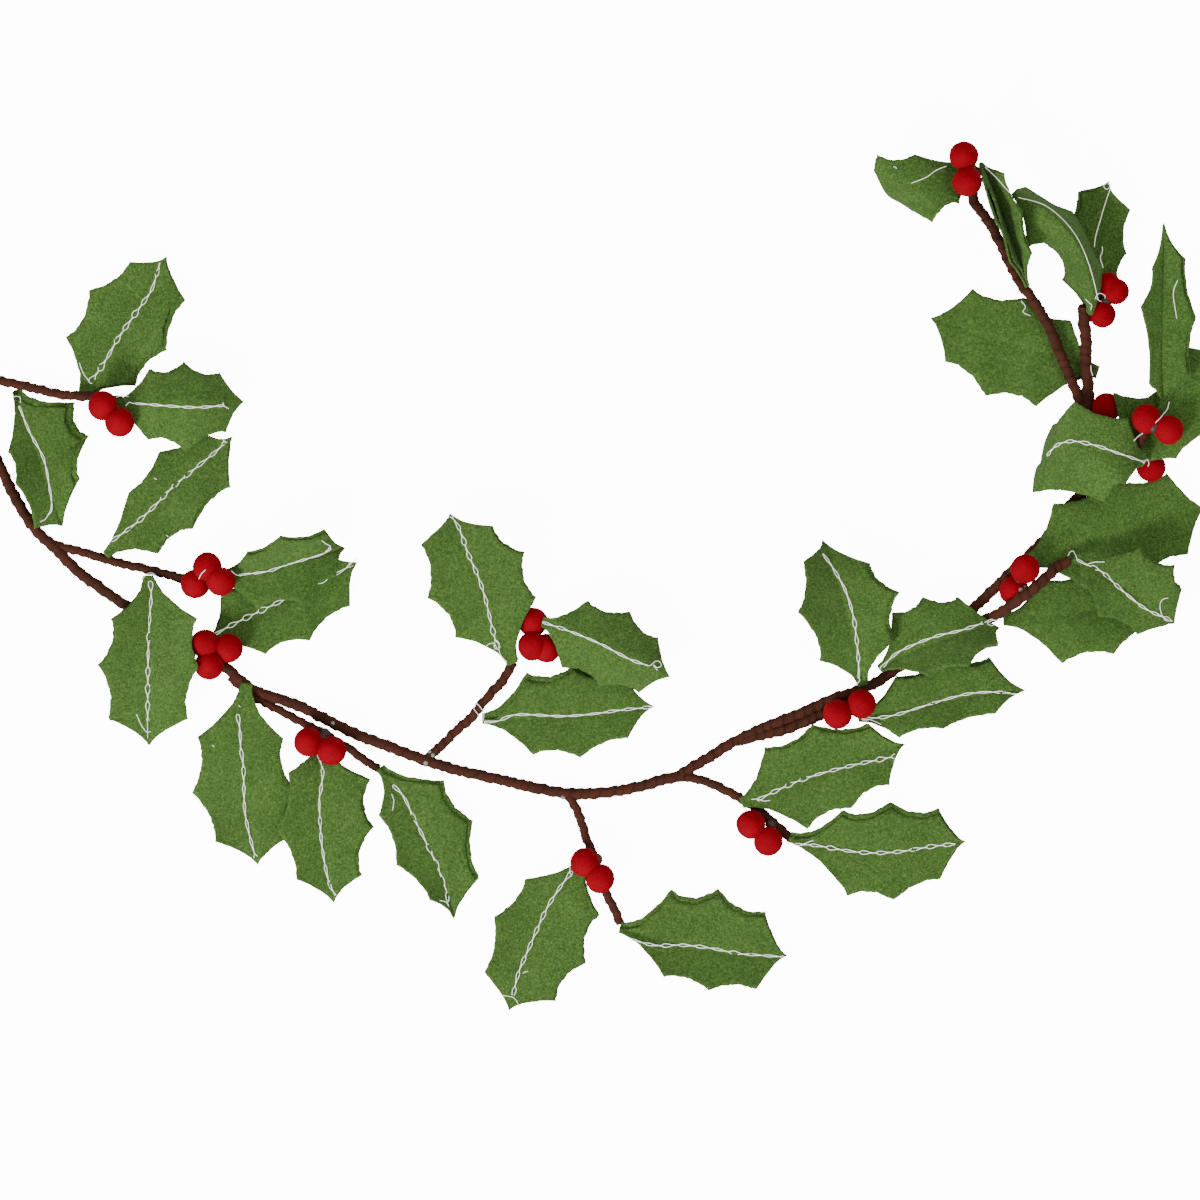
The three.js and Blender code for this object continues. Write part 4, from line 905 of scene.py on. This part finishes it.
def new_tree(name, inputs):
    """A Geometry Nodes tree with named inputs, each a (name, kind, value)."""
    tree = bpy.data.node_groups.new(name, "GeometryNodeTree")
    tree.interface.new_socket("Geometry", in_out="INPUT", socket_type="NodeSocketGeometry")
    for label, kind, value in inputs:
        tree.interface.new_socket(label, in_out="INPUT", socket_type=kind).default_value = value
    tree.interface.new_socket("Geometry", in_out="OUTPUT", socket_type="NodeSocketGeometry")
    graph = Graph(tree)
    group = tree.nodes.new("NodeGroupInput")
    given = {socket.name: Value(graph, socket) for socket in group.outputs if socket.name}
    return graph, given


def close_tree(graph, geometry, material):
    """Ends a tree in Realize Instances and Set Material."""
    real = graph.add("GeometryNodeRealizeInstances", None, {0: geometry})
    painted = graph.add("GeometryNodeSetMaterial", None, {"Geometry": real, "Material": material})
    last = graph.tree.nodes.new("NodeGroupOutput")
    graph.tree.links.new(painted.socket, last.inputs[0])
    return graph.tree


def run_tree(source, tree, name, **inputs):
    """Runs a tree on a helping object, its inputs set by identifier, and keeps only what it makes."""
    modifier = source.modifiers.new("make", "NODES")
    modifier.node_group = tree
    for item in tree.interface.items_tree:
        if item.in_out == "INPUT" and item.name.lower() in inputs:
            modifier[item.identifier] = inputs[item.name.lower()]
    source.data.update()
    bpy.context.view_layer.update()
    evaluated = source.evaluated_get(bpy.context.evaluated_depsgraph_get())
    mesh = bpy.data.meshes.new_from_object(evaluated)
    mesh.name = name
    guide = source.data
    bpy.data.objects.remove(source)
    bpy.data.meshes.remove(guide)
    return put_in_scene(name, mesh)


def sweep(graph, curve, sides, radius):
    """A closed round thread along a curve."""
    ring = graph.circle(sides, radius)
    return graph.add("GeometryNodeCurveToMesh", None, {0: curve, 1: ring, "Fill Caps": True})


def smoothed(graph, geometry):
    return graph.add("GeometryNodeSetShadeSmooth", None, {"Geometry": geometry, "Shade Smooth": True})


def chain_tree(material):
    """Chain stitch along a line: links that open and close, joined where their two strands cross."""
    graph, given = new_tree("chain_stitch", (
        ("Pitch", "NodeSocketFloat", STITCH_PITCH * MM),
        ("Loop", "NodeSocketFloat", 0.7 * MM),
        ("Thread", "NodeSocketFloat", THREAD_RADIUS * MM),
        ("Seed", "NodeSocketInt", 0)))
    curve = graph.add("GeometryNodeMeshToCurve", None, {"Mesh": given["Geometry"]})
    along = graph.add("GeometryNodeSplineParameter", output=1)
    tangent = graph.add("GeometryNodeInputTangent")
    up = graph.field("up", "FLOAT_VECTOR")
    aside = graph.vector("NORMALIZE", graph.vector("CROSS_PRODUCT", up, tangent))
    turns = along / given["Pitch"]
    link, phase = turns.apply("FLOOR"), turns.apply("FRACT")
    chance = graph.add("ShaderNodeTexWhiteNoise", {"noise_dimensions": "2D"},
                       {"Vector": graph.triple(link, given["Seed"])})
    open_share, early, round_off = 0.56, 0.7, 0.8
    least_loop, loop_range = 0.45, 1.1
    beside, sunk, over_other = 0.95, 0.9, 0.85
    opened = (phase / open_share).apply("MINIMUM", 1.0)
    belly = ((opened ** early) * math.pi).apply("SINE").apply("MAXIMUM", 0.0) ** round_off
    crossing = ((phase - open_share) / (1 - open_share)).apply("MAXIMUM", 0.0) * math.pi
    gap = given["Thread"] * beside * crossing.apply("COSINE")
    gap = gap + given["Loop"] * (least_loop + chance * loop_range) * belly
    hand = 1.0 - 2.0 * link.apply("MODULO", 2.0)
    strands = []
    for side in (1.0, -1.0):
        rise = given["Thread"] * sunk + given["Thread"] * over_other * crossing.apply("SINE") * hand * side
        move = graph.vector("ADD", graph.vector("MULTIPLY", aside, gap * hand * side),
                            graph.vector("MULTIPLY", up, rise))
        strands.append(sweep(graph, graph.moved(curve, move), THREAD_SIDES, given["Thread"]))
    join = graph.tree.nodes.new("GeometryNodeJoinGeometry")
    for strand in strands:
        graph.tree.links.new(strand.socket, join.inputs[0])
    return close_tree(graph, smoothed(graph, Value(graph, join.outputs[0])), material)


def thread_tree(material):
    """A plain loose thread along a line."""
    graph, given = new_tree("loose_thread", (("Thread", "NodeSocketFloat", LOOSE_THREAD_RADIUS * MM),))
    curve = graph.add("GeometryNodeMeshToCurve", None, {"Mesh": given["Geometry"]})
    return close_tree(graph, smoothed(graph, sweep(graph, curve, THREAD_SIDES, given["Thread"])), material)


def stem_tree(material):
    """Tape wound round a wire: each turn laps over the last in a low step, unevenly."""
    graph, given = new_tree("wound_stem", (
        ("Radius", "NodeSocketFloat", 2.5 * MM),
        ("Pitch", "NodeSocketFloat", WRAP_PITCH * MM),
        ("Step", "NodeSocketFloat", 0.75 * MM),
        ("Floor", "NodeSocketFloat", FLOOR_GAP * MM),
        ("Seed", "NodeSocketInt", 0)))
    curve = graph.add("GeometryNodeMeshToCurve", None, {"Mesh": given["Geometry"]})
    curve = graph.stored(curve, "along", graph.add("GeometryNodeSplineParameter", output=1))
    ring = graph.circle(STEM_SIDES, given["Radius"])
    ring = graph.stored(ring, "around", graph.add("GeometryNodeSplineParameter", output=0))
    tube = graph.add("GeometryNodeCurveToMesh", None, {0: curve, 1: ring, "Fill Caps": True})
    along, around = graph.field("along"), graph.field("around")
    drift_length, drift_between_stems = 18 * MM, 7.3
    lap_drift, crease_drift, crease_pitch = 1.6, 3.0, 0.37
    swell_power, edge_power, fullness, sunk = 1.6, 14.0, 1.1, 0.05
    crease_share, lump_share, lump_scale = 0.2, 1.7, 190.0
    drift = graph.add("ShaderNodeTexNoise", {"noise_dimensions": "1D"}, {
        "W": along / drift_length + given["Seed"] * drift_between_stems, "Scale": 1.0, "Detail": 1.0})
    lap = (along / given["Pitch"] + around + drift * lap_drift).apply("FRACT")
    crease = (along / (given["Pitch"] * crease_pitch) + around + drift * crease_drift).apply("FRACT")
    place = graph.add("GeometryNodeInputPosition")
    lumps = graph.noise(place, lump_scale, 3.0, roughness=0.6)
    rise = given["Step"] * ((lap ** swell_power) * (1.0 - (lap ** edge_power)) * fullness - sunk)
    rise = rise + given["Step"] * crease_share * (crease - 0.5) + given["Step"] * lump_share * (lumps - 0.5)
    normal = graph.add("GeometryNodeInputNormal")
    tube = graph.moved(graph.stored(tube, "lap", lap), graph.vector("MULTIPLY", normal, rise))
    x, y, z = (graph.add("ShaderNodeSeparateXYZ", None, {0: place}, axis) for axis in range(3))
    held_up = graph.triple(x, y, z.apply("MAXIMUM", given["Floor"]))
    tube = graph.add("GeometryNodeSetPosition", None, {"Geometry": tube, "Position": held_up})
    return close_tree(graph, smoothed(graph, tube), material)


def ball_tree(material):
    """Balls at the points given, each a little uneven."""
    graph, given = new_tree("felt_balls", (
        ("Detail", "NodeSocketInt", 4),
        ("Uneven", "NodeSocketFloat", 0.35 * MM),
        ("Seed", "NodeSocketInt", 0)))
    radius = graph.field("ball_radius")
    ball = graph.add("GeometryNodeMeshIcoSphere", None, {"Radius": 1.0, "Subdivisions": given["Detail"]})
    balls = graph.add("GeometryNodeInstanceOnPoints", None,
                      {"Points": given["Geometry"], "Instance": ball, "Scale": radius})
    balls = graph.add("GeometryNodeRealizeInstances", None, {0: balls})
    place = graph.add("GeometryNodeInputPosition")
    apart, fullness, dents_share, nap_share = 0.37, 1.2, 2.4, 1.2
    shifted = graph.vector("ADD", place, graph.triple(given["Seed"] * apart))
    dents, nap = graph.noise(shifted, 110.0, 1.0), graph.noise(shifted, 620.0, 2.0)
    rise = given["Uneven"] * ((dents - 0.5) * dents_share + (nap - 0.5) * nap_share + fullness)
    normal = graph.add("GeometryNodeInputNormal")
    balls = graph.moved(balls, graph.vector("MULTIPLY", normal, rise))
    return close_tree(graph, smoothed(graph, balls), material)


def fuzz_tree(material):
    """Short stray fibres that stand off a surface, each a thin three-sided spike."""
    graph, given = new_tree("felt_fuzz", (
        ("Density", "NodeSocketFloat", 400000.0),
        ("Length", "NodeSocketFloat", 1.0 * MM),
        ("Thickness", "NodeSocketFloat", 0.05 * MM),
        ("Lean", "NodeSocketFloat", 1.2),
        ("Seed", "NodeSocketInt", 0)))
    points = graph.tree.nodes.new("GeometryNodeDistributePointsOnFaces")
    graph.tree.links.new(given["Geometry"].socket, points.inputs["Mesh"])
    graph.tree.links.new((given["Density"] * graph.field("fibre_share")).socket, points.inputs["Density"])
    graph.tree.links.new(given["Seed"].socket, points.inputs["Seed"])
    place, rotation = (Value(graph, points.outputs[name]) for name in ("Points", "Rotation"))
    spike = graph.add("GeometryNodeMeshCone", {"fill_type": "NGON"}, {
        "Vertices": 3, "Radius Top": 0.0, "Radius Bottom": given["Thickness"], "Depth": given["Length"]})
    lean, about = given["Lean"], 3.1
    tilt = graph.add("FunctionNodeRandomValue", {"data_type": "FLOAT_VECTOR"}, {
        0: graph.triple(-lean, -lean, -about), 1: graph.triple(lean, lean, about),
        "Seed": given["Seed"] + 1})
    turn = graph.add("FunctionNodeRotateRotation", {"rotation_space": "LOCAL"}, {0: rotation, 1: tilt})
    size = graph.add("FunctionNodeRandomValue", {"data_type": "FLOAT"},
                     {2: 0.4, 3: 1.3, "Seed": given["Seed"] + 2}, 1)
    hairs = graph.add("GeometryNodeInstanceOnPoints", None,
                      {"Points": place, "Instance": spike, "Rotation": turn, "Scale": size})
    return close_tree(graph, hairs, material)


def dropped(surface, x, y):
    """The highest place of a surface at x, y in millimetres and its normal there, or None twice."""
    return surface.ray_cast(Vector((x, y, HIGH_ABOVE)), DOWN)[:2]


def lie_on(surface, line):
    """Where a line seen from above lands on a surface in millimetres, and the normals there."""
    landed, normals = [], []
    for x, y in line:
        place, normal = dropped(surface, x, y)
        if place is not None:
            landed.append((x, y, place.z))
            normals.append(tuple(normal if normal.z > 0 else -normal))
    return np.array(landed), np.array(normals)


def clear_runs(landed, normals, leaves):
    """The parts of a landed line that no other leaf presses on."""
    free = [leaves.ray_cast(Vector(place) + THREAD_LIFT * UP, UP, THREAD_HEADROOM)[0] is None
            for place in landed]
    cuts = [0, *[i for i in range(1, len(free)) if free[i] != free[i - 1]], len(free)]
    for a, b in zip(cuts, cuts[1:]):
        if free[a] and np.linalg.norm(landed[b - 1] - landed[a]) > LEAST_STITCH:
            yield landed[a:b], normals[a:b]


def lay_loose(surface, line):
    """A loose thread seen from above, hung over whatever lies below it."""
    def over_neighbours(levels, measure):
        padded = np.pad(levels, DRAPE_REACH, mode="edge")
        return np.array([measure(padded[i:i + 2 * DRAPE_REACH + 1]) for i in range(len(levels))])

    places = [dropped(surface, x, y)[0] for x, y in line]
    heights = np.array([(place.z if place is not None else 0.0) + LOOSE_THREAD_RADIUS for place in places])
    smooth = over_neighbours(over_neighbours(heights, np.max), np.mean)
    return np.column_stack([line, np.maximum(smooth, heights)])


def gathered(pieces):
    """The points in millimetres, the faces and the share of fibres of several pieces, as one surface."""
    points, faces, shares, start = [], [], [], 0
    for piece in pieces:
        mesh = piece.data
        places = np.empty(3 * len(mesh.vertices))
        mesh.vertices.foreach_get("co", places)
        points.append(places.reshape(-1, 3) / MM)
        share = np.ones(len(mesh.vertices))
        if "fibre_share" in mesh.attributes:
            mesh.attributes["fibre_share"].data.foreach_get("value", share)
        shares.append(share)
        faces += [tuple(start + k for k in face.vertices) for face in mesh.polygons]
        start += len(mesh.vertices)
    return np.vstack(points), faces, np.concatenate(shares)


def attach(piece, slot, *nodes):
    """A finished piece rides on the garland's one body and may stand for model nodes."""
    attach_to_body(piece, "root")
    if nodes:
        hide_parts(*nodes)
    return piece


def make_camera():
    """Straight above, with a long lens, so that the view holds the photograph's 600 mm square."""
    view_centre, view_width, height = (0.020, 0.096), 0.600, 6.0
    data = bpy.data.cameras.new("view")
    data.sensor_width = 36
    data.lens = data.sensor_width * height / view_width
    data.clip_end = 50
    camera = put_in_scene("view", data)
    camera.location = (*view_centre, height)
    bpy.context.scene.camera = camera


def make_studio():
    """A floor that is bright to the camera only, a plain one below it that returns light, and the lamps."""
    half = FLOOR_WIDTH / 2
    for row in FLOORS:
        corners = [(x * half, y * half, row["height"]) for x, y in ((-1, -1), (1, -1), (1, 1), (-1, 1))]
        material = floor_finish(row["finish"], row["glow"])
        floor = make_mesh(row["name"], corners, [(0, 1, 2, 3)], material, smooth=False)
        floor.visible_camera = bool(row["glow"])
        floor.visible_diffuse = floor.visible_glossy = not row["glow"]
    world = bpy.data.worlds.new("surround")
    bpy.context.scene.world = world
    world.use_nodes = True
    world.node_tree.nodes["Background"].inputs[0].default_value = (1, 1, 1, 1)
    world.node_tree.nodes["Background"].inputs[1].default_value = SURROUND_STRENGTH
    for row in LAMPS:
        data = bpy.data.lights.new(row["name"], "AREA")
        data.size = row["size"]
        data.energy = row["power"]
        lamp = put_in_scene(row["name"], data)
        lamp.location = row["place"]
        aim = Vector(LAMP_TARGET) - Vector(row["place"])
        lamp.rotation_mode = "QUATERNION"
        lamp.rotation_quaternion = aim.to_track_quat("-Z", "Y")


def make_leaves(felt):
    """Every leaf as two felt layers; gives the pieces and their upper surfaces."""
    pieces, surfaces = [], {}
    for number, leaf in enumerate(LEAVES):
        shape = leaf_shape(leaf)
        upper, upper_faces, upper_rim = felt_layer(leaf, shape, True, 10 * number)
        under, under_faces, under_rim = felt_layer(leaf, shape, False, 10 * number + 5)
        faces = upper_faces + [tuple(k + len(upper) for k in face) for face in under_faces]
        piece = make_mesh("felt_leaf_" + leaf["name"], np.vstack([upper, under]), faces, felt)
        rim = piece.data.attributes.new("fibre_share", "FLOAT", "POINT")
        rim.data.foreach_set("value", FLAT_FIBRE_SHARE + np.concatenate([upper_rim, under_rim]))
        surfaces[leaf["name"]] = BVHTree.FromPolygons([Vector(p) for p in upper], upper_faces)
        attach(piece, "green_felt", "leaf_" + leaf["name"])
        flat = (4 * WING_SPAN * CUT_SPARE * MM, LEAF_LENGTH * leaf["size"] * MM)
        cut_area(leaf)
        pieces.append(piece)
    return pieces, surfaces


def make_stitches(surfaces, leaves, thread):
    """The thread sewn down every leaf, left out where another leaf presses on it."""
    chain, plain = chain_tree(thread), thread_tree(thread)
    for number, row in enumerate(STITCHES):
        landed, normals = lie_on(surfaces[row["leaf"]], smooth_line(row["route"], STITCH_STEP))
        pitch = STITCH_PITCH * (LEAST_PITCH + PITCH_SPREAD * ((number * 7) % 5) / 4)
        for part, (places, ups) in enumerate(clear_runs(landed, normals, leaves)):
            name = "stitching_%s_%d" % (row["leaf"], part + 1)
            if row["loop"]:
                source = line_object("stitch_line", places, ups)
                piece = run_tree(source, chain, name, pitch=pitch * MM, loop=row["loop"] * MM, seed=number)
            else:
                source = line_object("stitch_line", places + ups * LOOSE_THREAD_RADIUS)
                piece = run_tree(source, plain, name, thread=LOOSE_THREAD_RADIUS * MM)
            attach(piece, "silver_thread")
    return plain


def make_loose_threads(ground, plain):
    for number, route in enumerate(LOOSE_THREADS):
        source = line_object("thread_line", lay_loose(ground, smooth_line(route, LOOSE_STEP)))
        name = "loose_thread_%d" % (number + 1)
        attach(run_tree(source, plain, name, thread=LOOSE_THREAD_RADIUS * MM), "silver_thread")


def make_glue(ground, glue):
    """Drops of clear glue where stems are bound together."""
    places = [(x, y, dropped(ground, x, y)[0].z - GLUE_SINK) for x, y, _ in GLUE_DROPS]
    source = ball_points(places, [radius for _, _, radius in GLUE_DROPS])
    piece = run_tree(source, ball_tree(glue), "drops_of_glue", detail=3, uneven=0.4 * MM, seed=3)
    attach(piece, "wrapped_stem")


def keep_above_ground(piece):
    """Presses whatever reaches below the surface that the garland lies on up to it."""
    places = np.zeros(3 * len(piece.data.vertices))
    piece.data.vertices.foreach_get("co", places)
    places[2::3] = np.maximum(places[2::3], 0.0)
    piece.data.vertices.foreach_set("co", places)
    piece.data.update()


def make_fibres(row, pieces, material):
    """Stray fibres all over a set of pieces."""
    points, faces, shares = gathered(pieces)
    source = make_mesh("fibre_ground", points, faces, material)
    share = source.data.attributes.new("fibre_share", "FLOAT", "POINT")
    share.data.foreach_set("value", shares)
    piece = run_tree(source, fuzz_tree(material), "stray_fibres_of_" + row["of"],
                     density=row["density"], length=row["length"] * MM, seed=row["seed"])
    keep_above_ground(piece)
    attach(piece, row["slot"])


def make_stems(tape):
    tree = stem_tree(tape)
    pieces = []
    for number, stem in enumerate(STEMS):
        source = line_object("stem_line", smooth_line(stem["route"], STEM_STEP))
        piece = run_tree(source, tree, "wound_" + stem["name"], radius=stem["diameter"] / 2 * MM, seed=number)
        pieces.append(attach(piece, "wrapped_stem", stem["name"]))
    return pieces


def ball_points(centres, radii):
    mesh = bpy.data.meshes.new("ball_points")
    mesh.from_pydata([tuple(part * MM for part in centre) for centre in centres], [], [])
    sizes = mesh.attributes.new("ball_radius", "FLOAT", "POINT")
    sizes.data.foreach_set("value", [radius * MM for radius in radii])
    return put_in_scene("ball_points", mesh)


def make_berries(red, knot):
    tree, knot_tree = ball_tree(red), ball_tree(knot)
    pieces = []
    for number, cluster in enumerate(BERRIES):
        source = ball_points(cluster["balls"], [cluster["radius"]] * len(cluster["balls"]))
        piece = run_tree(source, tree, "felt_berries_" + cluster["name"], seed=number)
        attach(piece, "red_felt", "berries_" + cluster["name"])
        pieces.append(piece)
        if cluster["knots"]:
            source = ball_points(cluster["knots"], [KNOT_RADIUS] * len(cluster["knots"]))
            name = "bound_wire_" + cluster["name"]
            attach(run_tree(source, knot_tree, name, detail=3, uneven=0.5 * MM, seed=number), "wrapped_stem")
    return pieces


make_camera()
make_studio()
felt = felt_finish()
tape = tape_finish()
red = berry_finish()
leaves, surfaces = make_leaves(felt)
stems = make_stems(tape)
berries = make_berries(red, knot_finish())
every_leaf = BVHTree.FromPolygons(*gathered(leaves)[:2])
ground = BVHTree.FromPolygons(*gathered([*leaves, *stems, *berries])[:2])
plain_thread = make_stitches(surfaces, every_leaf, thread_finish())
make_loose_threads(ground, plain_thread)
make_glue(ground, glue_finish())
for row, pieces, material in zip(FIBRES, (leaves, berries, stems), (felt, red, tape)):
    make_fibres(row, pieces, material)
